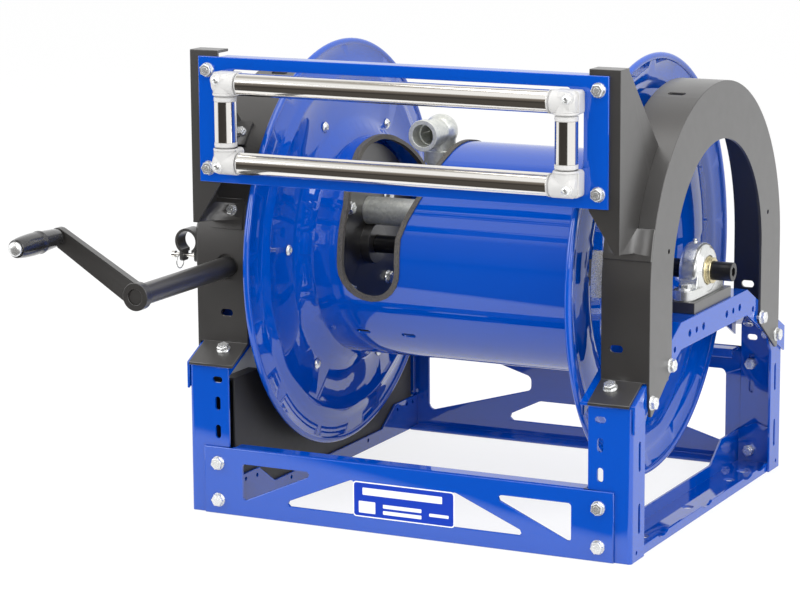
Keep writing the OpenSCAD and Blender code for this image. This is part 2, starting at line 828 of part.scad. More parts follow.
module arch_side_outline() {
  difference() {
    union() {
      translate([0, arch_z]) circle(r = arch_radius, $fn = 120);
      translate([-arch_radius, 0]) square([arch_radius * 2, arch_z]);
    }
    translate([0, arch_z]) circle(r = arch_inner, $fn = 120);
    translate([-arch_inner, 0]) square([arch_inner * 2, arch_z]);
    for (side = [-1, 1]) scale([side, 1])
      polygon([
        [arch_inner - 20, -1], [arch_radius + 10, -1], [arch_radius + 10, 234],
        [arch_radius, 234], [256, arch_tip_z], [250, arch_tip_z],
        [arch_inner, arch_cut_z], [arch_inner - 20, arch_cut_z + 12]
      ]);
  }
}

// Closed strip of the curved band and the straight legs below it.
module arch_band_outline() {
  foot = leg_z(arch_radius) + sheet_drop - 1;
  difference() {
    union() {
      translate([0, arch_z]) circle(r = arch_radius, $fn = 120);
      translate([-arch_radius, foot]) square([arch_radius * 2, arch_z - foot]);
    }
    translate([0, arch_z]) circle(r = arch_radius - sheet, $fn = 120);
    translate([-arch_radius + sheet, foot - 1])
      square([(arch_radius - sheet) * 2, arch_z - foot + 1]);
    translate([-arch_radius, -1]) square([arch_radius * 2, foot + 1]);
  }
}

// Foot tab that lies on the sloped leg.
module arch_foot_outline() {
  in = arch_radius - sheet;
  polygon([
    [in, leg_z(in)], [arch_foot_y, leg_z(arch_foot_y)],
    [arch_foot_y, leg_z(arch_foot_y) + sheet_drop], [in, leg_z(in) + sheet_drop]
  ]);
}

module arch_body(band, foot_inner) {
  difference() {
    union() {
      along_x(beam_outer, arch_outer) arch_side_outline();
      along_x(arch_outer - band, arch_outer) arch_band_outline();
      both_y() along_x(foot_inner, half_width - 2.5) arch_foot_outline();
    }
    both_y() {
      for (p = arch_bolts_yz) rod_x(beam_outer - 1, arch_outer + 1, bolt_hole, p[0], p[1]);
      translate([foot_bolt_x, foot_bolt_y, leg_z(foot_bolt_y)]) rotate([-leg_angle, 0, 0])
        translate([0, 0, -15]) cylinder(h = 30, r = bolt_hole);
      along_y(arch_radius - sheet - 1, arch_radius + 1)
        translate([arch_slot_x, 287]) rotate(90) slot_upright(19.5, 10.5);
    }
    along_y(arch_radius - sheet - 1, arch_radius + 1)
      translate([arch_slot_x, 421.5]) rotate(90) slot_upright(19.5, 10.5);
    for (p = [[-195, 413.5], [205, 408]]) rod_x(beam_outer - 1, arch_outer + 1, 3.5, p[0], p[1]);
    along_z(arch_z, arch_z + arch_radius + 1)
      translate([half_width - 29.5, -75]) rotate(90) slot_upright(26, 8);
  }
}

module arch_left() color("DimGray") difference() {
  hand_x(-1) arch_body(arch_band_left, arch_outer - arch_band_left);
  rod_y(-arch_radius - 1, -arch_radius + sheet + 1, crank_hole_radius, -crank_x, axle_z);
  band_hole(-tab_bolt_x, tab_bolt_z);
  band_hole(-upper_bolt_x, upper_bolt_z);
}

module arch_right() color("DimGray") difference() {
  arch_body(arch_band_right, arch_outer - arch_band_right);
  band_hole(tab_bolt_x, tab_bolt_z);
  band_hole(upper_bolt_x, upper_bolt_z);
}

// Roller guide --------------------------------------------------------------

module bracket_side_outline() {
  difference() {
    polygon([
      [-guide_back + sheet, 425], [-guide_back, 429], [-guide_back, bracket_top],
      [-guide_back + 30, bracket_top - 3],
      [-180, 560], [-150, 520], [-200, 412]
    ]);
    translate([0, arch_z]) circle(r = arch_radius + bracket_fit, $fn = 120);
  }
}

module roller_bracket(tab_dir) {
  x0 = bracket_x - bracket_sheet;
  fold = -guide_back;
  difference() {
    union() {
      along_x(x0, bracket_x) bracket_side_outline();
      along_y(fold, fold + bracket_sheet)
        polygon([
          [bracket_x, 425], [bracket_x, bracket_top], [bracket_x - bracket_flange, bracket_top],
          [bracket_x - bracket_flange, 482], [x0 - 4, 425]
        ]);
      along_z(bracket_top - bracket_sheet, bracket_top)
        translate([bracket_x - bracket_flange, fold]) square([bracket_flange, 30]);
      along_x(half_width - (tab_dir > 0 ? 61.5 : 66.5), tab_dir > 0 ? arch_outer : bracket_x)
        band_strip(tab_bolt_z - 26, tab_bolt_z + 16);
      along_x(x0 - 24, x0 + 1) band_strip(upper_bolt_z - 16, upper_bolt_z + 14);
    }
    for (p = guide_bolts) rod_y(fold - 1, fold + bracket_sheet + 1, bolt_hole, p[0], p[1]);
    band_hole(tab_bolt_x, tab_bolt_z);
    band_hole(upper_bolt_x, upper_bolt_z);
  }
}

// Curved tab outside an arch's band between two heights.
module band_strip(z0, z1) {
  a0 = band_angle(z0);
  a1 = band_angle(z1);
  reach = arch_radius + 60;
  intersection() {
    difference() {
      translate([0, arch_z]) circle(r = arch_radius + bracket_fit + bracket_sheet, $fn = 120);
      translate([0, arch_z]) circle(r = arch_radius + bracket_fit, $fn = 120);
    }
    translate([0, arch_z]) polygon([
      [0, 0], [-reach * cos(a1), reach * sin(a1)], [-reach * cos(a0), reach * sin(a0)]
    ]);
  }
}

module roller_bracket_left() color("DimGray") hand_x(-1) roller_bracket(-1);
module roller_bracket_right() color("DimGray") hand_x(1) roller_bracket(1);

module roller_plate() color("RoyalBlue") {
  difference() {
    union() {
      along_y(-guide_face, -guide_back) difference() {
        translate([-guide_half_width, guide_bottom])
          square([guide_half_width * 2, guide_top - guide_bottom]);
        polygon(rounded([
          [-window_half_width, window_bottom], [window_half_width, window_bottom],
          [window_half_width, window_wide_bottom], [window_wide_half, window_wide_bottom],
          [window_wide_half, window_wide_top], [window_half_width, window_wide_top],
          [window_half_width, window_top], [-window_half_width, window_top],
          [-window_half_width, window_wide_top], [-window_wide_half, window_wide_top],
          [-window_wide_half, window_wide_bottom], [-window_half_width, window_wide_bottom]],
          window_corner));
      }
      along_z(guide_top - sheet, guide_top)
        translate([-window_wide_half - 3, -guide_face]) square([window_wide_half * 2 + 6, 26]);
    }
    both_x() {
      for (p = guide_bolts)
        rod_y(-guide_face - 1, -guide_back + 1, bolt_hole, p[0], p[1]);
      for (p = block_screws)
        rod_y(-guide_face - 1, -guide_back + 1, 4, p[0], p[1]);
    }
  }
}

module corner_blocks() color("White") {
  x0 = roller_half_length + 0.5;
  both_x() for (i = [0, 1]) {
    zs = block_rows[i];
    horizontal_z = i == 0 ? roller_bottom_z : roller_top_z;
    difference() {
      along_y(-guide_face - block_depth, -guide_face)
        polygon(rounded([
          [x0, zs[0]], [x0 + block_width, zs[0]], [x0 + block_width, zs[1]], [x0, zs[1]]], 5));
      rod_x(x0 - 1, x0 + 9, roller_pin_radius, -roller_y, horizontal_z);
      rod_z(i == 0 ? zs[1] - 10 : zs[0] - 1, i == 0 ? zs[1] + 1 : zs[0] + 10,
        roller_pin_radius, roller_side_x, -roller_y);
      rod_y(-guide_face - block_depth - 1, -guide_face + 1, 3.5,
        block_screws[i][0], block_screws[i][1]);
    }
  }
}

module roller_pins() color("Silver") {
  x1 = roller_half_length + 9.5;
  for (z = [roller_top_z, roller_bottom_z])
    rod_x(-x1, x1, roller_pin_radius, -roller_y, z);
  both_x() rod_z(block_rows[0][1] - 10, block_rows[1][0] + 10, roller_pin_radius,
    roller_side_x, -roller_y);
}

// Tube roller with stepped end plugs, standing on the axis z from 0.
module roller(length) {
  difference() {
    union() {
      cylinder(h = length, r = roller_radius - 1.5);
      translate([0, 0, 8]) cylinder(h = length - 16, r = roller_radius);
    }
    translate([0, 0, -1]) cylinder(h = length + 2, r = roller_pin_radius + running_gap);
    translate([0, 0, 14]) cylinder(h = length - 28, r = roller_radius - 3);
  }
}

module roller_top() color("Gainsboro")
  translate([-roller_half_length, -roller_y, roller_top_z]) rotate([0, 90, 0])
    roller(roller_half_length * 2);

module roller_bottom() color("Gainsboro")
  translate([-roller_half_length, -roller_y, roller_bottom_z]) rotate([0, 90, 0])
    roller(roller_half_length * 2);

module roller_left() color("Gainsboro")
  translate([-roller_side_x, -roller_y, upright_bottom]) roller(upright_top - upright_bottom);

module roller_right() color("Gainsboro")
  translate([roller_side_x, -roller_y, upright_bottom]) roller(upright_top - upright_bottom);

module roller_bolts() color("LightGray") {
  both_x() {
    for (p = guide_bolts) translate([p[0], -guide_face, p[1]]) rotate([90, 0, 0])
      hex_bolt(sheet + bracket_sheet);
    for (p = block_screws) translate([p[0], -guide_face - block_depth, p[1]])
      rotate([90, 0, 0]) dome_screw(block_depth + sheet + 2);
    on_band(upper_bolt_x, upper_bolt_z) tab_bolt();
    on_band(tab_bolt_x, tab_bolt_z) tab_bolt();
  }
}

// Bolt through a bracket's tab and an arch's band.
module tab_bolt() {
  translate([0, 0, bracket_fit + bracket_sheet + 0.1]) scale(0.8)
    hex_bolt((bracket_sheet + bracket_fit + sheet + 0.4) / 0.8);
}

module frame_bolts() color("LightGray") {
  both_x() {
    for (i = [0, 1]) {
      translate([rail_bolt_x, -rail_face, front_bolt_z[i]]) rotate([90, 0, 0])
        hex_bolt((3 - i) * sheet);
      translate([rail_bolt_x, rail_face, rear_bolt_z[i]]) rotate([-90, 0, 0])
        hex_bolt((3 - i) * sheet);
    }
    both_y() {
      for (i = [0, 1])
        translate([arch_outer, arch_bolts_yz[i][0], arch_bolts_yz[i][1]])
          rotate([0, 90, 0]) hex_bolt((2 + i) * sheet);
      translate([foot_bolt_x, foot_bolt_y, leg_z(foot_bolt_y)])
        rotate([-leg_angle, 0, 0]) translate([0, 0, sheet]) hex_bolt(2 * sheet);
    }
  }
}

// Spool ---------------------------------------------------------------------

module cutout_outline(grow = 0) {
  radius = (cutout_right - cutout_left) / 2;
  mid = (cutout_right + cutout_left) / 2;
  base = radius - cutout_bottom;
  top = drum_radius + 20;
  circle_part = [for (a = [180:15:360]) [mid, base] + (radius + grow) * [cos(a), sin(a)]];
  polygon(concat(circle_part, [
    [cutout_right + grow, 40], [cutout_right + 8 + grow, 66],
    [cutout_right + 21 + grow, 98], [cutout_top_right + grow, 150],
    [cutout_top_right + grow, top], [cutout_top_left - grow, top],
    [cutout_top_left - grow, 152], [cutout_top_left + 5 - grow, 140],
    [cutout_left - grow, 80]
  ]));
}

module cutout(grow = 0) {
  translate([0, 0, axle_z]) along_y(-drum_radius - 20, drum_radius + 20)
    cutout_outline(grow);
}

module drum_shell() color("RoyalBlue") difference() {
  rod_x(-drum_half, drum_half, drum_radius, 0, axle_z, $fn = 120);
  rod_x(-drum_half - 1, drum_half + 1, drum_radius - drum_wall, 0, axle_z, $fn = 120);
  cutout();
  for (x = [-152, -79]) translate([x, 0, axle_z]) rotate([-139.6 + 90, 0, 0]) rotate([90, 0, 0])
    rotate([0, 0, 90]) translate([0, 0, drum_radius - 10])
      linear_extrude(20) slot_upright(16, 4);
}

module drum_edge_trim() color("Black") difference() {
  intersection() {
    difference() {
      rod_x(-drum_half, drum_half, drum_radius + trim_lip, 0, axle_z, $fn = 120);
      rod_x(-drum_half - 1, drum_half + 1, drum_radius - drum_wall - trim_lip, 0, axle_z, $fn = 120);
    }
    difference() {
      cutout(trim_width);
      cutout(-2);
    }
  }
  difference() {
    rod_x(-drum_half, drum_half, drum_radius, 0, axle_z, $fn = 120);
    rod_x(-drum_half - 1, drum_half + 1, drum_radius - drum_wall, 0, axle_z, $fn = 120);
    cutout();
  }
}

// Side disc on the right: the section's first axis is the radius.
module disc_section() {
  inner = 40;
  t = disc_sheet;
  x0 = drum_half;
  x1 = disc_web_x;
  x2 = disc_rim_x;
  front = [
    [inner, x0], [drum_radius + 2, x0], [flare_radius, x1 - 3], [flare_radius + 8, x1],
    [disc_bead_radius - 12, x1 + 5], [disc_bead_radius - 7, x1 + 5 - disc_bead_height],
    [disc_bead_radius, x1 + 5 - disc_bead_height], [disc_bead_radius + 5, x1 + 6],
    [disc_bead_radius + 14, x1 + 7], [disc_radius - disc_rim_roll, x2]
  ];
  back = [for (i = [len(front) - 1:-1:0]) front[i] + [0, t]];
  polygon(concat(front, back));
}

module disc_rim_section() {
  translate([disc_radius - disc_rim_roll, disc_rim_x + disc_sheet / 2])
    circle(r = disc_rim_roll, $fn = 24);
}

module side_disc(holes) difference() {
  translate([0, 0, axle_z]) rotate([0, 90, 0]) rotate_extrude($fn = 120) {
    disc_section();
    disc_rim_section();
  }
  for (i = [0:disc_bolt_count - 1])
    translate([disc_web_x - 10, 0, axle_z]) rotate([disc_bolt_angle + 360 / disc_bolt_count * i, 0, 0])
      rod_x(0, 30, 4.5, disc_bolt_radius, 0);
  hub_holes(drum_half - 1, drum_half + 10);
  if (holes) rod_x(drum_half - 1, drum_half + 10, water_radius + 8, 0, axle_z + water_offset);
}

module disc_left() color("RoyalBlue") hand_x(-1) side_disc(true);
module disc_right() color("RoyalBlue") hand_x(1) side_disc(false);

// Hub plate on the right, welded to its disc and carrying the axle.
module hub_plate(bore, holes) difference() {
  union() {
    rod_x(hub_x, drum_half, hub_plate_radius, 0, axle_z, $fn = 96);
    rod_x(hub_x - 14, hub_x + 1, 30, 0, axle_z);
  }
  rod_x(hub_x - 15, drum_half + 1, bore, 0, axle_z);
  if (holes) rod_x(hub_x - 15, drum_half + 1, pipe_radius, 0, axle_z + water_offset);
  hub_holes(hub_x - 1, drum_half + 1);
}

module hub_holes(x0, x1) {
  for (i = [0:3]) translate([0, 0, axle_z]) rotate([45 + 90 * i, 0, 0])
    rod_x(x0, x1, bolt_hole, hub_bolt_radius, 0);
}

module hub_plate_left() color("Black") hand_x(-1) hub_plate(shaft_radius, true);
module hub_plate_right() color("Black") hand_x(1) hub_plate(shaft_radius, false);

module spool_bolts() color("LightGray") {
  both_x() {
    for (i = [0:disc_bolt_count - 1])
      translate([disc_web_x - 0.3, 0, axle_z])
        rotate([disc_bolt_angle + 360 / disc_bolt_count * i, 0, 0])
          translate([0, disc_bolt_radius, 0]) rotate([0, -90, 0]) dome_screw(10, 8);
    for (i = [0:3]) translate([hub_x, 0, axle_z]) rotate([45 + 90 * i, 0, 0])
      translate([0, hub_bolt_radius, 0]) rotate([0, -90, 0])
          hex_bolt(hub_plate_thickness + disc_sheet);
  }
}

module axle_shaft() color("DimGray") difference() {
  rod_x(-drum_half, shaft_end, shaft_radius, 0, axle_z);
  rod_x(shaft_end - 12, shaft_end + 1, 7, 0, axle_z, $fn = 6);
}

module manifold() color("Black") difference() {
  union() {
    along_x(-manifold_left, -drum_half - disc_sheet)
      polygon(rounded([[-30, axle_z - 30], [30, axle_z - 30], [30, axle_z + 78], [-30, axle_z + 78]],
        12));
  }
  rod_x(-manifold_left - 1, -manifold_left + 12, pipe_radius, 0, axle_z);
  rod_x(-manifold_left - 1, -manifold_left + 20, water_radius, 0, axle_z);
  rod_z(axle_z, axle_z + water_offset, 9, -manifold_left + 19, 0);
  rod_x(-manifold_left + 10, -drum_half, water_radius, 0, axle_z + water_offset);
}

module axle_pipe() color("DimGray") difference() {
  rod_x(-pipe_end, -manifold_left + 12, pipe_radius, 0, axle_z);
  rod_x(-pipe_end - 1, -manifold_left + 13, water_radius, 0, axle_z);
}

// Quarter of a torus that turns from the axis +X at the bottom to +Z.
module riser_quarter(r, x, z) {
  intersection() {
    translate([x, 0, z]) rotate([90, 0, 0])
      rotate_extrude() translate([riser_bend, 0]) circle(r = r);
    translate([x, -100, z - 100]) cube([200, 200, 100]);
  }
}

module riser_solid(r, extra) {
  z0 = axle_z + water_offset;
  x1 = -riser_x - riser_bend;
  z1 = z0 + riser_bend;
  rod_x(-drum_half - disc_sheet - extra, x1, r, 0, z0);
  riser_quarter(r, x1, z1);
  rod_z(z1, outlet_z - 46 + extra, r, -riser_x, 0);
}

module riser_pipe() color("Silver") difference() {
  riser_solid(pipe_radius, 0);
  riser_solid(water_radius, 1);
}

module outlet_elbow() color("Silver") difference() {
  neck = outlet_z - 46;
  body = outlet_rim - 3;
  union() {
    rod_z(neck, neck + 18, body + 5, -riser_x, 0);
    rod_z(neck + 17, outlet_z, body + 2, -riser_x, 0);
    translate([-riser_x, 0, outlet_z]) sphere(r = body + 5);
    rod_y(-outlet_reach, 0, body, -riser_x, outlet_z);
    rod_y(-outlet_reach, -outlet_reach + 12, outlet_rim, -riser_x, outlet_z);
  }
  rod_z(neck - 1, outlet_z, water_radius, -riser_x, 0);
  rod_y(-outlet_reach - 1, -outlet_reach + outlet_depth, outlet_bore, -riser_x, outlet_z);
  rod_y(-outlet_reach, 0, water_radius - 1, -riser_x, outlet_z);
}

// Swivel joint on the hollow axle and its bracket on the left beam.
module swivel_bracket() color("DimGray") difference() {
  along_x(-arch_outer, -beam_outer)
    polygon(rounded([[-66, 270], [66, 270], [66, 300], [42, 395], [-42, 395], [-66, 300]], 8));
  rod_x(-arch_outer - 1, -beam_outer + 1, pipe_radius + 1.5, 0, axle_z);
  both_y() rod_x(-arch_outer - 1, -beam_outer + 1, beam_hole_radius + 1,
    beam_hole_first, beam_hole_z);
}

module swivel_joint() color("Goldenrod") difference() {
  inlet_x = -swivel_end + swivel_radius - 8;
  union() {
    rod_x(-swivel_end, -arch_outer, swivel_radius, 0, axle_z);
    rod_x(-arch_outer - 8, -arch_outer, swivel_radius + 8, 0, axle_z);
    rod_y(0, inlet_reach, inlet_bore + 7, inlet_x, axle_z);
    rod_y(inlet_reach - 14, inlet_reach, inlet_bore + 9, inlet_x, axle_z, $fn = 6);
  }
  rod_x(-pipe_end - 2, -arch_outer + 1, pipe_radius + running_gap, 0, axle_z);
  rod_x(-swivel_end + 8, -pipe_end, water_radius, 0, axle_z);
  rod_y(0, inlet_reach - 1, water_radius - 3, inlet_x, axle_z);
  rod_y(inlet_reach - inlet_depth, inlet_reach + 1, inlet_bore, inlet_x, axle_z);
}

// Crank and bevel gears -----------------------------------------------------

// One straight bevel tooth: pairs of height and half width, apex at the origin.
module bevel_tooth(cone, profile) {
  along = [sin(cone), 0, cos(cone)];
  up = [cos(cone), 0, -sin(cone)];
  n = len(profile);
  ring = concat(
    [for (i = [0:n - 1]) [profile[i][0], profile[i][1]]],
    [for (i = [n - 1:-1:0]) [profile[i][0], -profile[i][1]]]
  );
  m = len(ring);
  points = [
    for (s = [gear_shrink, 1])
      for (p = ring) s * (cone_length * along + p[0] * up + [0, p[1], 0])
  ];
  faces = concat(
    [[for (i = [m - 1:-1:0]) i]],
    [[for (i = [0:m - 1]) m + i]],
    [for (i = [0:m - 1]) [i, (i + 1) % m, m + (i + 1) % m, m + i]]
  );
  polyhedron(points = points, faces = faces, convexity = 4);
}

module gear_body() {
  rim = cone_length * [sin(cone_gear), cos(cone_gear)]
    - 4.4 * [cos(cone_gear), -sin(cone_gear)];
  rotate_extrude($fn = 96) polygon([
    [pipe_radius, 24], [36, 24], [36, 31], rim * gear_shrink - [2, 0], rim * gear_shrink, rim,
    [rim[0] - 3, 44], [44, 44], [36, gear_back], [pipe_radius, gear_back]
  ]);
}

module bevel_gear() color("Silver") translate([-crank_x, 0, axle_z]) rotate([0, 90, 0]) {
  gear_body();
  for (i = [0:gear_teeth - 1]) rotate([0, 0, -90 + 360 / gear_teeth * (i + 0.5)])
    bevel_tooth(cone_gear, [[-4.8, 4.3], [3.4, 1.3]]);
}

module bevel_pinion() color("Silver") translate([-crank_x, 0, axle_z]) rotate([90, 0, 0]) {
  rim = cone_length * [sin(cone_pinion), cos(cone_pinion)]
    - 4.4 * [cos(cone_pinion), -sin(cone_pinion)];
  rotate_extrude() polygon([
    [crank_radius, crank_back], [rim[0] * gear_shrink, rim[1] * gear_shrink], rim,
    [24, 106], [crank_radius, 106]
  ]);
  for (i = [0:pinion_teeth - 1]) rotate([0, 0, 360 / pinion_teeth * i])
    bevel_tooth(cone_pinion, [[-4.8, 2.7], [-2, 3], [0, 2.7], [1.8, 2.05], [3.4, 1.25]]);
}

module crank_shaft() color("DimGray") {
  rod_y(-crank_face + crank_arm_thickness, -crank_back, crank_radius, -crank_x, axle_z);
  rod_y(-crank_face, -crank_face + crank_arm_thickness, 11, -crank_x, axle_z);
}

module crank_arm() color("DimGray") translate([-crank_x, 0, axle_z]) rotate([0, crank_angle, 0]) {
  y1 = -crank_face + crank_arm_thickness;
  difference() {
    union() {
      along_y(-crank_face, y1) hull() {
        circle(r = crank_boss_radius - 3);
        translate([-crank_throw, 0]) circle(r = crank_tip_radius);
      }
      rod_y(-crank_face - 2, y1, crank_boss_radius);
    }
    rod_y(-crank_face - 3, y1 + 1, 11);
    rod_y(-crank_face - 3, y1 + 1, spindle_radius, -crank_throw, 0);
  }
}

module at_grip() {
  translate([-crank_x - crank_throw * cos(crank_angle), 0,
    axle_z + crank_throw * sin(crank_angle)]) children();
}

module grip_spindle() color("Silver") at_grip() {
  rod_y(-crank_face - grip_length - 4, -crank_face + crank_arm_thickness, spindle_radius);
  rod_y(-crank_face + crank_arm_thickness, -crank_face + crank_arm_thickness + 6, 9);
  rod_y(-crank_face - grip_length - 8, -crank_face - grip_length - 3, 8);
}

module crank_grip() color("Black") at_grip() difference() {
  translate([0, -crank_face - 2, 0]) rotate([90, 0, 0]) rotate_extrude() polygon([
    [0, 0], [12, 0], [13, 3], [14, 20], [grip_radius - 1.5, 60], [grip_radius, grip_length - 20],
    [grip_radius, grip_length - 8], [grip_radius - 4, grip_length - 1.5], [0, grip_length - 1.5]
  ]);
  rod_y(-crank_face - grip_length - 9, -crank_face, spindle_radius + running_gap);
}

// Bearing pedestal on the left beam and the bearing behind the arch's panel.
module crank_pedestal() color("DimGray") difference() {
  y0 = -pedestal_y - 10;
  y1 = -pedestal_y + 10;
  union() {
    along_z(beam_top, beam_top + 10) translate([-crank_x, -pedestal_y])
      square([54, 20], center = true);
    along_y(y0, y1) translate([-crank_x, 0])
      polygon([[-15, beam_top + 5], [15, beam_top + 5], [22, axle_z], [-22, axle_z]]);
    rod_y(y0, y1, 26, -crank_x, axle_z);
  }
  rod_y(y0 - 1, y1 + 1, crank_radius + running_gap, -crank_x, axle_z);
  for (end = [-1, 1])
    rod_z(beam_top - 1, beam_top + 11, 3, -crank_x + end * pedestal_bolt_x, -pedestal_y);
}

module crank_flange() color("DimGray") difference() {
  r = arch_radius - sheet;
  union() {
    rod_y(-arch_radius + sheet, -arch_radius + sheet + 6, 36, -crank_x, axle_z);
    rod_y(-arch_radius + sheet, -arch_radius + sheet + 20, 24, -crank_x, axle_z);
  }
  rod_y(-arch_radius, -arch_radius + sheet + 21, crank_radius + running_gap, -crank_x, axle_z);
  along_x(-half_width, -half_width / 2) difference() {
    translate([-r - 10, arch_z]) square([40, 60]);
    translate([0, arch_z]) circle(r = r, $fn = 120);
  }
}

// Stow clip, lock pin and pull ring -----------------------------------------

module crank_clip() color("Black") difference() {
  out = clip_bore + clip_wall;
  union() {
    rod_y(-clip_y - clip_length / 2, -clip_y + clip_length / 2, out, -clip_x, clip_z);
    along_x(-arch_outer - 6, -arch_outer)
      polygon(rounded([[-clip_y - 12, clip_z - 34], [-clip_y + 12, clip_z - 34],
        [-clip_y + 12, clip_z + 22], [-clip_y, clip_z + 44], [-clip_y - 12, clip_z + 22]], 3));
    for (x = jaw_x) along_x(-x - 2.5, -x + 2.5)
      polygon(rounded([[-clip_y - 9, pin_z - 8], [-clip_y + 9, pin_z - 8],
        [-clip_y + 9, clip_z - 8], [-clip_y - 9, clip_z - 8]], 4));
  }
  rod_y(-clip_y - clip_length, -clip_y + clip_length, clip_bore, -clip_x, clip_z);
  along_y(-clip_y - clip_length, -clip_y + clip_length)
    translate([-clip_x - 8, pin_z - 20]) square([16, clip_z - pin_z + 12]);
  rod_x(-clip_x - 30, -arch_outer + 1, lock_pin_radius + running_gap, -clip_y, pin_z);
  rod_x(-arch_outer - 7, -arch_outer + 1, 3, -clip_y, clip_z + 33);
}

module clip_pin() color("Gainsboro") difference() {
  union() {
    rod_x(-pin_end, -pin_tip, lock_pin_radius, -clip_y, pin_z);
    rod_x(-pin_end - 4, -pin_end + 1, 5, -clip_y, pin_z);
  }
  rod_y(-clip_y - 6, -clip_y + 6, 1.8, -ring_hole_x, pin_z);
}

module pull_ring() color("Silver")
  translate([-ring_hole_x, -clip_y, pin_z - pull_ring_radius]) rotate([0, 90, 0])
    rotate_extrude() translate([pull_ring_radius, 0]) circle(r = pull_ring_wire, $fn = 16);

// Brake, guard and drive ----------------------------------------------------

// Strip along the inside of an arch's front, of a thickness and between two heights.
module inner_strip(thickness, z0, z1) {
  r = arch_radius - sheet;
  intersection() {
    difference() {
      union() {
        translate([0, arch_z]) circle(r = r, $fn = 120);
        translate([-r, 0]) square([r * 2, arch_z]);
      }
      translate([0, arch_z]) circle(r = r - thickness, $fn = 120);
      translate([thickness - r, -1]) square([(r - thickness) * 2, arch_z + 1]);
    }
    translate([-r - 1, z0]) square([r, z1 - z0]);
  }
}

module brake_bracket() color("LightGray") difference() {
  arm = 40;
  union() {
    along_x(brake_x, half_width - 10.5) inner_strip(4, brake_z - 32, brake_z + 32);
    along_x(brake_x, brake_x + 4) inner_strip(arm, brake_z - 22, brake_z + 22);
  }
  rod_x(brake_x - 1, brake_x + 5, 4.5, 26 - arch_radius, brake_z);
}

module brake_pad() color("Black") {
  pad_y = 26 - arch_radius;
  along_x(brake_x - 6, brake_x)
    translate([pad_y, brake_z]) square([26, 36], center = true);
  rod_x(brake_x - 1, brake_x + 8, 4, pad_y, brake_z);
  rod_x(brake_x + 4, brake_x + 8, 7, pad_y, brake_z);
}

module guard_outer() color("DimGray")
  along_x(-half_width - 3, -half_width)
    polygon(rounded([[-guard_end, 26], [guard_end, 26], [guard_end, 186], [-guard_end, 186]],
      6));

module guard_inner() color("DimGray") {
  x = -side_web_x - sheet;
  end = guard_end;
  difference() {
    union() {
      along_x(x - guard_sheet, x)
        polygon(rounded([[-end, sheet], [end, sheet], [end, guard_top], [-end, guard_top]], 2));
      along_z(guard_top - guard_sheet, guard_top) translate([x - guard_flange, -end])
        square([guard_flange, end * 2]);
    }
    translate([x - guard_sheet - 40, -motor_y - motor_flange - 2, guard_top - 20])
      cube([40, motor_flange * 2 + 14, 30]);
  }
}

module drive_motor() color("Silver") {
  x0 = -half_width + sheet;
  x1 = -side_web_x - sheet - guard_sheet;
  rod_x(x0 + 4, x1, motor_radius, -motor_y, motor_z);
  rod_x(x1 - 5, x1, motor_flange, -motor_y, motor_z);
  along_x(x0 + 12, x1 - 11) translate([-motor_y + 20, motor_z - 34]) square([46, 68]);
}

front_rail();
rear_rail();
base_rail_left();
base_rail_right();
post_front_left();
post_front_right();
post_rear_left();
post_rear_right();
bearing_beam_left();
bearing_beam_right();
bearing_riser_left();
bearing_riser_right();
pillow_block_left();
pillow_block_right();
arch_left();
arch_right();
roller_bracket_left();
roller_bracket_right();
roller_plate();
corner_blocks();
roller_pins();
crank_pedestal();
crank_flange();
swivel_bracket();
swivel_joint();
guard_outer();
guard_inner();
drive_motor();
crank_clip();
brake_bracket();
brake_pad();
frame_bolts();
bearing_bolts();
roller_bolts();
drum_shell();
drum_edge_trim();
disc_left();
disc_right();
hub_plate_left();
hub_plate_right();
axle_pipe();
axle_shaft();
manifold();
riser_pipe();
outlet_elbow();
spool_bolts();
locking_collars();
bevel_gear();
crank_shaft();
crank_arm();
bevel_pinion();
grip_spindle();
crank_grip();
roller_top();
roller_bottom();
roller_left();
roller_right();
clip_pin();
pull_ring();
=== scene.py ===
"""Looks of a fire hose reel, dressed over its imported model.

Metres, +X right along the drum's axis, -Y front, +Z up, origin on the floor. The classes
of the sub-assemblies hold their sizes in millimetres.
"""

import logging
import math
from dataclasses import dataclass
from enum import Enum
from typing import Callable, Iterable, Sequence

import bmesh
import bpy
from mathutils import Matrix, Vector


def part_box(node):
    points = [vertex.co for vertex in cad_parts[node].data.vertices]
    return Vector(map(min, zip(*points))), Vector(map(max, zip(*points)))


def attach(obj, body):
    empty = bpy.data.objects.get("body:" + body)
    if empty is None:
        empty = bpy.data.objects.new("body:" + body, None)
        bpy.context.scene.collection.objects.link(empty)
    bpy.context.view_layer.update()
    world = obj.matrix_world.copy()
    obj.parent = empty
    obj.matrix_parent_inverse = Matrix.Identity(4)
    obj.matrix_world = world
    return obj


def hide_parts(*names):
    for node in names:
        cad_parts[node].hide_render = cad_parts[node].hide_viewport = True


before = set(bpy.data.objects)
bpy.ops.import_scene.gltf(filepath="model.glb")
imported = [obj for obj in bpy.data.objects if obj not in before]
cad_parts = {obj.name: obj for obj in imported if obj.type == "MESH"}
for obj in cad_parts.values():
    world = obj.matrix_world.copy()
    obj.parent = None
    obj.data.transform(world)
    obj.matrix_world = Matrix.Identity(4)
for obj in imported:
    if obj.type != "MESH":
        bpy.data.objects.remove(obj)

log = logging.getLogger("hose_reel")

Pair = tuple[float, float]
Point = tuple[float, float, float]
Colour = tuple[float, float, float, float]
Outline = Sequence[Pair]
Settings = dict[str, object] | None
Inputs = dict[str | int, object] | None
BMesh = bmesh.types.BMesh
BMFace = bmesh.types.BMFace
Object = bpy.types.Object

MM = 0.001
FLAT = math.radians(0.6)
SHARP = math.radians(40.0)
UPRIGHT = Matrix.Rotation(math.radians(90.0), 4, "X")
RIGHT: Point = (1.0, 0.0, 0.0)
FRONT: Point = (0.0, -1.0, 0.0)
UP: Point = (0.0, 0.0, 1.0)
PURE_WHITE: Colour = (1.0, 1.0, 1.0, 1.0)


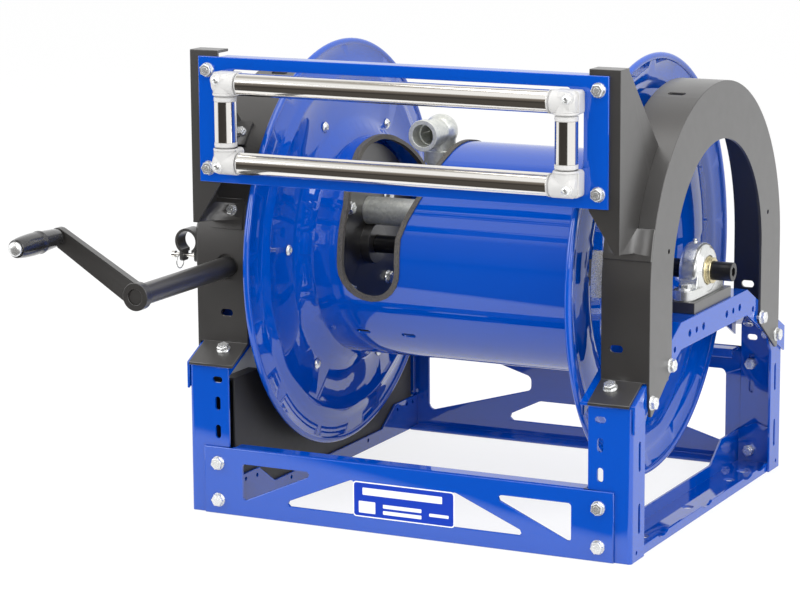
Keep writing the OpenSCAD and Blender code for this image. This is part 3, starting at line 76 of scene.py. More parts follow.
# Node trees ------------------------------------------------------------------


def operator(
    operation: str, second: float | None = None, flipped: bool = False
) -> Callable[..., "Link"]:
    """Make a method of Link that adds a Math node.

    Args:
        operation: The node's operation.
        second: Its second value, or None where the method takes one.
        flipped: Whether the value that the method takes comes first.

    Returns:
        The method.
    """

    def method(self: "Link", other: object = second) -> "Link":
        """Add the node and return its result."""
        first, last = (other, self) if flipped else (self, other)
        return self.owner.math(operation, first, last)

    return method


class Link:
    """An output socket that takes part in Python expressions."""

    def __init__(self, owner: "Tree", socket: bpy.types.NodeSocket) -> None:
        """Keep the socket and the tree that new nodes go into."""
        self.owner = owner
        self.socket = socket

    __add__, __radd__ = operator("ADD"), operator("ADD", flipped=True)
    __sub__, __rsub__ = operator("SUBTRACT"), operator("SUBTRACT", flipped=True)
    __mul__, __rmul__ = operator("MULTIPLY"), operator("MULTIPLY", flipped=True)
    __truediv__, __rtruediv__ = operator("DIVIDE"), operator("DIVIDE", flipped=True)
    __neg__, __abs__ = operator("MULTIPLY", -1.0), operator("ABSOLUTE", 0.0)
    at_least, at_most = operator("MAXIMUM"), operator("MINIMUM")


class Tree:
    """A node tree that is built from Python expressions."""

    def __init__(self, tree: bpy.types.NodeTree) -> None:
        """Clear the tree and keep it."""
        self.tree = tree
        tree.nodes.clear()

    def add(
        self, kind: str, settings: Settings = None, inputs: Inputs = None
    ) -> bpy.types.Node:
        """Add one node.

        Args:
            kind: The node's type name.
            settings: Its properties, which are set first.
            inputs: Values or links for its sockets, by name or index.

        Returns:
            The new node.
        """
        node = self.tree.nodes.new(kind)
        for key, value in (settings or {}).items():
            setattr(node, key, value)
        for key, value in (inputs or {}).items():
            self.feed(node.inputs[key], value)
        return node

    def link(
        self, kind: str, settings: Settings = None, inputs: Inputs = None, output: str | int = 0
    ) -> Link:
        """Add one node and return one of its outputs."""
        return Link(self, self.add(kind, settings, inputs).outputs[output])

    def feed(self, socket: bpy.types.NodeSocket, value: object) -> None:
        """Link a value into a socket, or set the socket's own value."""
        if isinstance(value, Link):
            value = value.socket
        if isinstance(value, bpy.types.NodeSocket):
            self.tree.links.new(value, socket)
        else:
            socket.default_value = value

    def math(self, operation: str, first: object, second: object) -> Link:
        """Add a Math node and return its result."""
        return self.link("ShaderNodeMath", {"operation": operation}, {0: first, 1: second})

    def blend(self, amount: object, first: object, second: object) -> Link:
        """Return the first colour, and the second where the amount is 1."""
        values = {0: amount, 6: first, 7: second}
        return self.link("ShaderNodeMix", {"data_type": "RGBA"}, values, 2)

    def place(self, scale: Point = (1.0, 1.0, 1.0)) -> Link:
        """Return the Object coordinates, stretched by a scale."""
        here = self.link("ShaderNodeTexCoord", output="Object")
        return self.link("ShaderNodeMapping", None, {"Vector": here, "Scale": scale})

    def noise(self, scale: float, detail: float, stretch: Point = (1.0, 1.0, 1.0)) -> Link:
        """Return a noise value.

        Args:
            scale: Cells for each metre.
            detail: Octaves of finer noise.
            stretch: Scale of the coordinates along each axis.

        Returns:
            The noise, about 0.5 on average.
        """
        values = {"Vector": self.place(stretch), "Scale": scale, "Detail": detail}
        return self.link("ShaderNodeTexNoise", None, values)

    def cells(self, scale: float) -> Link:
        """Return a random colour for each Voronoi cell."""
        values = {"Vector": self.place(), "Scale": scale}
        return self.link("ShaderNodeTexVoronoi", None, values, "Color")

    def axes(self, vector: object) -> tuple[Link, Link, Link]:
        """Return a vector's three components."""
        node = self.add("ShaderNodeSeparateXYZ", None, {0: vector})
        return tuple(Link(self, node.outputs[i]) for i in range(3))

    def ray(self, kind: str) -> Link:
        """Return 1 for one kind of ray and 0 for the others."""
        return self.link("ShaderNodeLightPath", output=kind)

    def length(self, across: Link, other: Link) -> Link:
        """Return the length of a vector from its two components."""
        return self.math("SQRT", across * across + other * other, 0.0)

    def ramp(self, value: object, low: float, high: float) -> Link:
        """Return a value remapped from low..high to 0..1 and clamped."""
        values = {"Value": value, "From Min": low, "From Max": high}
        return self.link("ShaderNodeMapRange", {"clamp": True}, values)

    def band(self, value: Link, rise: Pair, fall: Pair) -> Link:
        """Return 1 where a value lies between a rise and a fall."""
        return self.ramp(value, *rise) * (1.0 - self.ramp(value, *fall))

    def panel(
        self, across: Link, up: Link, middle: Pair, half: Pair,
        corner: float, soft: float = 0.0001,
    ) -> Link:
        """Return 1 inside a rectangle with round corners and 0 outside.

        Args:
            across: The first coordinate.
            up: The second coordinate.
            middle: The rectangle's centre.
            half: Its half width and half height.
            corner: Radius of its corners.
            soft: Half width of the mask's soft edge.

        Returns:
            The mask.
        """
        dx = (abs(across - middle[0]) - (half[0] - corner)).at_least(0.0)
        dz = (abs(up - middle[1]) - (half[1] - corner)).at_least(0.0)
        return 1.0 - self.ramp(self.length(dx, dz), corner - soft, corner + soft)

    def bump(self, height: object, distance: float, strength: float = 1.0) -> Link:
        """Return a normal that is bent by a height."""
        values = {"Height": height, "Distance": distance, "Strength": strength}
        return self.link("ShaderNodeBump", None, values)


@dataclass(frozen=True)
class Finish:
    """A surface finish: base colour, gloss and the way that it varies.

    Attributes:
        name: The material's name.
        colour: Linear base colour.
        tint: Second colour that broad patches lean towards.
        roughness: Mean roughness.
        metallic: 1 for bare metal.
        coat: Weight of a clear coat.
        patch: Cells of the broad patches for each metre.
        patch_amount: How strongly the patches show.
        grain: Cells of the fine relief for each metre.
        grain_depth: Depth of the fine relief in metres.
        roughness_swing: How far the roughness varies.
        stretch: Scale of the grain along each axis.
        specular: Specular level.
        coat_roughness: Roughness of the clear coat.
        coat_index: Index of refraction of the clear coat.
    """

    name: str
    colour: Point
    tint: Point
    roughness: float
    metallic: float = 0.0
    coat: float = 0.0
    patch: float = 9.0
    patch_amount: float = 0.5
    grain: float = 900.0
    grain_depth: float = 0.00004
    roughness_swing: float = 0.08
    stretch: Point = (1.0, 1.0, 1.0)
    specular: float = 0.5
    coat_roughness: float = 0.06
    coat_index: float = 1.5

    def relief(self, tree: Tree) -> Link:
        """Return the finish's fine relief as a normal."""
        return tree.bump(tree.noise(self.grain, 3.0, self.stretch), self.grain_depth)

    def colours(self, tree: Tree) -> Link:
        """Return the finish's base colour over the surface."""
        patches = tree.ramp(tree.noise(self.patch, 4.0), 0.3, 0.75) * self.patch_amount
        return tree.blend(patches, (*self.colour, 1.0), (*self.tint, 1.0))

    def gloss(self, tree: Tree) -> Link:
        """Return the finish's roughness over the surface."""
        smear = tree.noise(self.patch * 4.0, 5.0) - 0.5
        return smear * (self.roughness_swing * 2.0) + self.roughness

    def material(self) -> bpy.types.Material:
        """Build the finish's material once and return it."""
        found = bpy.data.materials.get(self.name)
        if found:
            return found
        material = bpy.data.materials.new(self.name)
        material.use_nodes = True
        tree = Tree(material.node_tree)
        body = tree.link("ShaderNodeBsdfPrincipled", None, {
            "Base Color": self.colours(tree), "Roughness": self.gloss(tree),
            "Metallic": self.metallic, "Coat Weight": self.coat,
            "Coat Roughness": self.coat_roughness, "Coat IOR": self.coat_index,
            "Specular IOR Level": self.specular, "Normal": self.relief(tree),
        })
        tree.add("ShaderNodeOutputMaterial", None, {0: body})
        material.diffuse_color = (*self.colour, 1.0)
        return material


@dataclass(frozen=True)
class Galvanised(Finish):
    """Hot-dipped zinc with its crystal spangle and cast relief.

    Attributes:
        crystals: Crystals for each metre.
    """

    crystals: float = 260.0

    def colours(self, tree: Tree) -> Link:
        """Return zinc greys that change from crystal to crystal."""
        mask = tree.link("ShaderNodeSeparateColor", None, {0: tree.cells(self.crystals)})
        return tree.blend(mask * self.patch_amount, (*self.colour, 1.0), (*self.tint, 1.0))


@dataclass(frozen=True)
class Turned(Finish):
    """Polished metal with faint rings left by turning."""

    def relief(self, tree: Tree) -> Link:
        """Return very shallow rings along the piece."""
        return tree.bump(tree.noise(self.grain, 2.0, self.stretch), self.grain_depth, 0.4)


@dataclass(frozen=True)
class PlateFilm(Finish):
    """A printed plate: white border, blue field and blank white fields.

    Attributes:
        middle: The plate's centre, x and z.
        half: Its half width and half height.
        border: Width of the white border.
        corner: Radius of the blue field's corners.
        blank_corner: Radius of the blank fields' corners.
        white: White of the film, clean and worn.
        blanks: Centre and half size of each blank field.
    """

    middle: Pair = (0.002, 0.0475)
    half: Pair = (0.079, 0.0255)
    border: float = 0.0016
    corner: float = 0.004
    blank_corner: float = 0.0012
    white: tuple[Colour, Colour] = ((0.84, 0.85, 0.88, 1.0), (0.6, 0.62, 0.68, 1.0))
    blanks: tuple[tuple[float, float, float, float], ...] = (
        (0.0, 0.0595, 0.062, 0.0052),
        (-0.055, 0.0365, 0.013, 0.0085),
        (0.0, 0.0405, 0.03, 0.0027),
        (0.0, 0.0315, 0.03, 0.0027),
        (0.057, 0.0365, 0.015, 0.0022),
    )

    def colours(self, tree: Tree) -> Link:
        """Return the plate's blue field with its border and blank fields.

        Args:
            tree: The material's tree.

        Returns:
            The colour.
        """
        across, _, up = tree.axes(tree.place())
        half = (self.half[0] - self.border, self.half[1] - self.border)
        mask = tree.panel(across, up, self.middle, half, self.corner)
        for x, z, half_x, half_z in self.blanks:
            blank = tree.panel(across, up, (x, z), (half_x, half_z), self.blank_corner)
            mask = mask - blank
        white = tree.blend(tree.noise(160.0, 4.0) * 0.08, *self.white)
        return tree.blend(mask.at_least(0.0), white, (*self.colour, 1.0))


class Paint(Enum):
    """The finishes of the reel's pieces."""

    BLUE = Finish(
        "blue_powder_coat", (0.0, 0.068, 0.44), (0.0, 0.057, 0.385), 0.32, coat=1.0,
        patch=4.0, patch_amount=0.35, grain=260.0, grain_depth=0.00002, roughness_swing=0.03,
        specular=0.0, coat_roughness=0.035, coat_index=1.74,
    )
    BLACK = Finish(
        "black_powder_coat", (0.017, 0.0155, 0.0145), (0.027, 0.025, 0.0235), 0.44,
        patch=14.0, grain=1300.0, grain_depth=0.00006, roughness_swing=0.06,
        coat=0.9, coat_roughness=0.33, coat_index=1.6,
    )
    MATT_BLACK = Finish(
        "black_inner_coat", (0.011, 0.01, 0.0105), (0.016, 0.015, 0.0145), 0.6,
        patch=14.0, grain=1300.0, grain_depth=0.00006, roughness_swing=0.06,
        coat=0.15, coat_roughness=0.4,
    )
    GLOSS_BLACK = Finish(
        "black_enamel", (0.007, 0.007, 0.008), (0.011, 0.01, 0.01), 0.3,
        patch=40.0, grain=700.0, grain_depth=0.00001, roughness_swing=0.04,
        specular=0.25, coat=0.3, coat_roughness=0.1,
    )
    ZINC = Finish(
        "zinc_plate", (0.82, 0.83, 0.83), (0.56, 0.57, 0.56), 0.27, metallic=0.82,
        patch=130.0, patch_amount=0.5, grain=1500.0, grain_depth=0.00002,
    )
    GALVANISED = Galvanised(
        "galvanised_fitting", (0.74, 0.75, 0.7), (0.5, 0.52, 0.49), 0.36, metallic=0.62,
        patch=60.0, patch_amount=0.6, grain=420.0, grain_depth=0.00014,
    )
    STAINLESS = Turned(
        "stainless_tube", (0.86, 0.84, 0.8), (0.76, 0.73, 0.69), 0.09, metallic=1.0,
        patch=20.0, patch_amount=0.25, grain=700.0, grain_depth=0.000004,
        roughness_swing=0.02,
    )
    WHITE = Finish(
        "white_acetal", (0.54, 0.535, 0.525), (0.48, 0.475, 0.465), 0.42,
        patch=60.0, patch_amount=0.4, grain=1600.0, grain_depth=0.00004,
    )
    GRIP = Finish(
        "black_grip", (0.012, 0.012, 0.013), (0.02, 0.02, 0.02), 0.24,
        patch=70.0, grain=2200.0, grain_depth=0.00004, coat=0.7, coat_roughness=0.15,
    )
    RUBBER = Finish(
        "rubber_trim", (0.045, 0.042, 0.038), (0.2, 0.18, 0.155), 0.7,
        patch=520.0, patch_amount=0.6, grain=1500.0, grain_depth=0.0003,
    )
    OILED = Finish(
        "oiled_steel", (0.1, 0.1, 0.105), (0.05, 0.048, 0.045), 0.32, metallic=0.9,
        patch=30.0, grain=900.0, grain_depth=0.00003,
    )
    CASTING = Finish(
        "silver_casting", (0.74, 0.75, 0.74), (0.6, 0.61, 0.6), 0.24, metallic=0.85,
        patch=45.0, patch_amount=0.5, grain=300.0, grain_depth=0.00003,
    )
    BRASS = Finish(
        "brass", (0.62, 0.47, 0.26), (0.42, 0.3, 0.15), 0.33, metallic=1.0,
        patch=60.0, grain=900.0, grain_depth=0.00004,
    )
    GILT = Finish(
        "yellow_passivate", (0.66, 0.58, 0.36), (0.5, 0.42, 0.24), 0.26, metallic=1.0,
        patch=120.0, grain=700.0, grain_depth=0.000008,
    )
    MOTOR = Finish(
        "grey_paint", (0.5, 0.51, 0.52), (0.4, 0.41, 0.42), 0.36,
        patch=25.0, grain=900.0, grain_depth=0.00008,
    )
    PLATE = PlateFilm(
        "printed_plate", (0.002, 0.036, 0.4), (0.56, 0.58, 0.63), 0.42,
        patch=30.0, grain=300.0, grain_depth=0.00001, specular=0.2,
    )


# Meshes ----------------------------------------------------------------------


def put(name: str, data: bpy.types.ID) -> Object:
    """Return a new object in the scene that shows some data."""
    obj = bpy.data.objects.new(name, data)
    bpy.context.scene.collection.objects.link(obj)
    return obj


def applied(obj: Object) -> bpy.types.Mesh:
    """Return an object's mesh with its modifiers run, and take them off the object."""
    seen = obj.evaluated_get(bpy.context.evaluated_depsgraph_get())
    mesh = bpy.data.meshes.new_from_object(seen)
    obj.modifiers.clear()
    return mesh


class Mesher:
    """Helpers that turn bmesh work into finished objects; outlines are in millimetres."""

    @staticmethod
    def copied(node: str, merge: float) -> BMesh:
        """Return a copy of a node's mesh, with vertices nearer than a distance merged."""
        bm = bmesh.new()
        bm.from_mesh(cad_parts[node].data)
        Mesher.drop_maps(bm)
        bmesh.ops.remove_doubles(bm, verts=bm.verts, dist=merge)
        return bm

    @staticmethod
    def drop_maps(bm: BMesh) -> None:
        """Take the UV maps off a mesh."""
        for layer in list(bm.loops.layers.uv):
            bm.loops.layers.uv.remove(layer)

    @staticmethod
    def join_flat(bm: BMesh) -> None:
        """Join the faces that lie in one plane."""
        bmesh.ops.dissolve_limit(bm, angle_limit=FLAT, verts=bm.verts, edges=bm.edges)

    @staticmethod
    def finish(
        bm: BMesh, name: str, paint: Paint, smooth_angle: float = 32.0,
        recalc: bool = True,
    ) -> Object:
        """Make an object from a bmesh.

        Args:
            bm: The mesh, which is freed.
            name: The object's name.
            paint: Its finish.
            smooth_angle: Edges sharper than this stay sharp, in degrees.
            recalc: Whether the faces are turned outwards.

        Returns:
            The object, linked to the scene.
        """
        if recalc:
            bmesh.ops.recalc_face_normals(bm, faces=bm.faces)
        mesh = bpy.data.meshes.new(name)
        bm.to_mesh(mesh)
        bm.free()
        mesh.materials.append(paint.value.material())
        mesh.polygons.foreach_set("use_smooth", [True] * len(mesh.polygons))
        mesh.set_sharp_from_angle(angle=math.radians(smooth_angle))
        return put(name, mesh)

    @staticmethod
    def revolve(
        bm: BMesh, profile: Outline, place: Matrix, steps: int, closed: bool = False
    ) -> None:
        """Add the faces of a profile that is turned about local Z.

        Args:
            bm: The mesh that is added to.
            profile: Radius and height pairs; a radius of 0 is a pole.
            place: Where local space goes.
            steps: Number of steps round the axis.
            closed: Whether the profile's end joins its start, as on a ring.
        """
        rings: list[list[bmesh.types.BMVert]] = []
        for radius, height in ((r * MM, h * MM) for r, h in profile):
            rings.append([
                bm.verts.new(place @ Vector((
                    radius * math.cos(2.0 * math.pi * i / steps),
                    radius * math.sin(2.0 * math.pi * i / steps),
                    height,
                )))
                for i in range(steps if radius > 0.0 else 1)
            ])
        if closed:
            rings.append(rings[0])
        for low, high in zip(rings, rings[1:]):
            for i in range(steps):
                j = (i + 1) % steps
                corners = list(dict.fromkeys((
                    low[i % len(low)], low[j % len(low)],
                    high[j % len(high)], high[i % len(high)],
                )))
                if len(corners) > 2:
                    bm.faces.new(corners)

    @staticmethod
    def turned(
        name: str, paint: Paint, parts: Iterable[tuple[Outline, Matrix]], steps: int,
        smooth_angle: float = 32.0, closed: bool = True,
    ) -> Object:
        """Make one object from turned profiles.

        Args:
            name: The object's name.
            paint: Its finish.
            parts: Each profile and the place whose local Z it turns about.
            steps: Number of steps round each axis.
            smooth_angle: Edges sharper than this stay sharp, in degrees.
            closed: Whether each profile's end joins its start.

        Returns:
            The object.
        """
        bm = bmesh.new()
        for profile, place in parts:
            Mesher.revolve(bm, profile, place, steps, closed)
        return Mesher.finish(bm, name, paint, smooth_angle)

    @staticmethod
    def slab(bm: BMesh, outline: Outline, place: Matrix, depth: float) -> None:
        """Add a plate by raising an outline along local Z.

        Args:
            bm: The mesh that is added to.
            outline: Corners in local X and Y, counter-clockwise.
            place: Where local space goes.
            depth: How far the outline is raised.
        """
        low, high = (
            [bm.verts.new(place @ Vector((x * MM, y * MM, z * MM))) for x, y in outline]
            for z in (0.0, depth)
        )
        bm.faces.new(list(reversed(low)))
        bm.faces.new(high)
        for i in range(len(outline)):
            j = (i + 1) % len(outline)
            bm.faces.new([low[i], low[j], high[j], high[i]])

    @staticmethod
    def rounded(half_x: float, half_y: float, corner: float, steps: int = 6) -> Outline:
        """Return the outline of a rectangle with round corners about the origin.

        Args:
            half_x: Half width.
            half_y: Half height.
            corner: Radius of the corners.
            steps: Edges in each corner.

        Returns:
            The outline.
        """
        points: list[Pair] = []
        for turn, (sx, sy) in enumerate(((1, 1), (-1, 1), (-1, -1), (1, -1))):
            for i in range(steps + 1):
                angle = math.radians(90.0 * (turn + i / steps))
                points.append((
                    sx * (half_x - corner) + corner * math.cos(angle),
                    sy * (half_y - corner) + corner * math.sin(angle),
                ))
        return points

    @staticmethod
    def bevel(
        obj: Object, width: float, segments: int = 3, clamp: bool = False,
        marked: bool = False,
    ) -> None:
        """Round an object's sharp or marked edges with a live Bevel modifier.

        Args:
            obj: The object.
            width: Width of the rounding in metres.
            segments: Faces across it.
            clamp: Whether it narrows where edges lie close together.
            marked: Whether it rounds the marked edges and not the sharp ones.
        """
        mod = obj.modifiers.new("edge_round", "BEVEL")
        mod.width = width
        mod.segments = segments
        mod.limit_method = "WEIGHT" if marked else "ANGLE"
        mod.angle_limit = SHARP
        mod.use_clamp_overlap = clamp
        mod.harden_normals = True


def shift(x: float, y: float, z: float) -> Matrix:
    """Return the place at a point in millimetres."""
    return Matrix.Translation(Vector((x, y, z)) * MM)


def axis_matrix(origin: Point, axis: Point) -> Matrix:
    """Return the place whose local Z runs along an axis from a point in millimetres."""
    turn = Vector(UP).rotation_difference(Vector(axis)).to_matrix().to_4x4()
    return Matrix.Translation(Vector([value * MM for value in origin])) @ turn


@dataclass
class Piece:
    """A finished object and what it stands for.

    Attributes:
        obj: The object.
        body: The body that it rides on.
        slot: The record's material slot; not used.
        nodes: CAD nodes that it replaces.
    """

    obj: Object
    body: str
    slot: str
    nodes: tuple[str, ...] = ()

    def register(self) -> None:
        if self.nodes:
            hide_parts(*self.nodes)
        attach(self.obj, self.body)
        log.info("%s: %d faces on %s", self.obj.name, len(self.obj.data.polygons), self.body)


@dataclass
class NodeDress:
    """A CAD node's own shape with rounded edges and a finish.

    Attributes:
        node: The node.
        body: The body that it rides on.
        slot: The record's material slot.
        paint: Its finish.
        edge: Radius of the rounded edges in metres, or 0 for none.
        long_edges: Length in metres from which an edge is rounded, or 0 for all.
        merge: Distance in metres below which vertices are merged.
    """

    node: str
    body: str
    slot: str
    paint: Paint
    edge: float
    long_edges: float = 0.0
    merge: float = 1e-7

    def mark(self, bm: BMesh) -> None:
        """Mark the long sharp edges that are rounded."""
        weight = bm.edges.layers.float.new("bevel_weight_edge")
        for edge in bm.edges:
            if len(edge.link_faces) != 2 or edge.calc_length() < self.long_edges:
                continue
            edge[weight] = 1.0 if edge.calc_face_angle(0.0) > SHARP else 0.0

    def build(self) -> Piece:
        """Copy the node's mesh, join its flat faces and round its edges."""
        bm = Mesher.copied(self.node, self.merge)
        Mesher.join_flat(bm)
        if self.long_edges > 0.0:
            bmesh.ops.connect_verts_concave(bm, faces=bm.faces)
            self.mark(bm)
        obj = Mesher.finish(bm, self.node + "_dressed", self.paint, recalc=False)
        if self.edge > 0.0:
            Mesher.bevel(obj, self.edge, marked=self.long_edges > 0.0)
        if self.long_edges > self.edge:
            even = obj.modifiers.new("even_shading", "WEIGHTED_NORMAL")
            even.keep_sharp = True
            even.weight = 100
        return Piece(obj, self.body, self.slot, (self.node,))


# Fasteners ---------------------------------------------------------------------


@dataclass(frozen=True)
class Bolt:
    """A hexagonal bolt through a stack of sheets.

    Attributes:
        seat: Where the head's flange rests.
        axis: Unit direction from the nut to the head.
        size: Size against the standard bolt.
        grip: Distance between head and nut in metres.
    """

    seat: Vector
    axis: Vector
    size: float
    grip: float


class BoltTree(Tree):
    """Geometry Nodes that put a flanged bolt and its nut at every point.

    Attributes:
        SIZES: Standard sizes in metres by input name.
        HEXAGON: Sides of a head and a nut.
        CHAMFERED: Share of the corners' radius that is left on a chamfered face.
        DIMPLE: Height of the raised mark on a head.
    """

    SIZES: dict[str, float] = {
        "Corner Radius": 0.00924, "Head Height": 0.0076, "Chamfer": 0.0011,
        "Flange Radius": 0.0105, "Flange Height": 0.0018, "Nut Height": 0.008,
        "Shank Radius": 0.005, "Dimple Radius": 0.0046,
    }
    HEXAGON: int = 6
    CHAMFERED: float = 0.86
    DIMPLE: float = 0.0003

    def __init__(self) -> None:
        """Start an empty tree with its inputs and its output."""
        super().__init__(bpy.data.node_groups.new("flanged_bolts", "GeometryNodeTree"))
        face = self.tree.interface
        face.new_socket(name="Points", in_out="INPUT", socket_type="NodeSocketGeometry")
        for name, value in self.SIZES.items():
            socket = face.new_socket(name=name, in_out="INPUT", socket_type="NodeSocketFloat")
            socket.default_value = value
        face.new_socket(name="Finish", in_out="INPUT", socket_type="NodeSocketMaterial")
        face.new_socket(name="Bolts", in_out="OUTPUT", socket_type="NodeSocketGeometry")

    def taper(
        self, sides: int, low: Link, high: Link, depth: Link | float,
        lift: Link | float = 0.0, share: float = 1.0,
    ) -> Link:
        """Add a prism or taper that stands on local Z.

        Args:
            sides: Number of sides.
            low: Radius at the bottom.
            high: Radius at the top.
            depth: Height.
            lift: Height of the bottom.
            share: Share of the top radius that is kept.

        Returns:
            The geometry.
        """
        cone = self.link("GeometryNodeMeshCone", {"fill_type": "NGON"}, {
            "Vertices": sides, "Radius Bottom": low, "Radius Top": high * share, "Depth": depth,
        }, "Mesh")
        offset = self.link("ShaderNodeCombineXYZ", None, {"Z": lift})
        return self.link("GeometryNodeTransform", None, {"Geometry": cone, "Translation": offset})

    def named(self, name: str, kind: str = "FLOAT") -> Link:
        """Return a named attribute of the points."""
        return self.link(
            "GeometryNodeInputNamedAttribute", {"data_type": kind}, {"Name": name}, "Attribute"
        )

    def joined(self, shapes: Iterable[Link]) -> Link:
        """Join several geometries into one."""
        node = self.add("GeometryNodeJoinGeometry")
        for shape in shapes:
            self.feed(node.inputs[0], shape)
        return Link(self, node.outputs[0])

    def moved(self, points: object, offset: str) -> Link:
        """Move the points by a named attribute."""
        values = {"Geometry": points, "Offset": self.named(offset, "FLOAT_VECTOR")}
        return self.link("GeometryNodeSetPosition", None, values)

    def scattered(self, points: object, shapes: Iterable[Link], turn: Link, length: Link) -> Link:
        """Put the joined shapes at every point.

        Args:
            points: The points.
            shapes: The geometries.
            turn: Their rotation.
            length: Their scale along local Z; across it they keep the bolt's size.

        Returns:
            The instances.
        """
        size = self.named("size")
        scale = self.link("ShaderNodeCombineXYZ", None, {0: size, 1: size, 2: length})
        return self.link("GeometryNodeInstanceOnPoints", None, {
            "Points": points, "Instance": self.joined(shapes), "Rotation": turn, "Scale": scale,
        })

    def build(self) -> bpy.types.GeometryNodeTree:
        """Fill the tree and return it."""
        given = self.add("NodeGroupInput").outputs
        corner, height, chamfer, flange, rim, tall, shank, dimple = (
            Link(self, given[name]) for name in self.SIZES
        )
        wall, nut_wall = height - chamfer, tall - chamfer
        head = (
            self.taper(28, flange, flange, rim, share=0.93),
            self.taper(self.HEXAGON, corner, corner, wall),
            self.taper(self.HEXAGON, corner, corner, chamfer, wall, self.CHAMFERED),
            self.taper(20, dimple, dimple, self.DIMPLE, height, 0.9),
        )
        nut = (
            self.taper(self.HEXAGON, corner, corner, nut_wall, chamfer),
            self.taper(self.HEXAGON, corner * self.CHAMFERED, corner, chamfer),
        )
        stem = (self.taper(18, shank, shank, 1.0),)
        aim = {0: self.named("aim", "FLOAT_VECTOR")}
        turn = self.link("FunctionNodeEulerToRotation", None, aim)
        points, size = given["Points"], self.named("size")
        bolts = self.joined((
            self.scattered(points, head, turn, size),
            self.scattered(self.moved(points, "nut_offset"), nut, turn, size),
            self.scattered(self.moved(points, "end_offset"), stem, turn, self.named("reach")),
        ))
        solid = self.link("GeometryNodeRealizeInstances", None, {0: bolts})
        painted = self.link(
            "GeometryNodeSetMaterial", None, {"Geometry": solid, "Material": given["Finish"]}
        )
        self.add("NodeGroupOutput", None, {0: painted})
        return self.tree


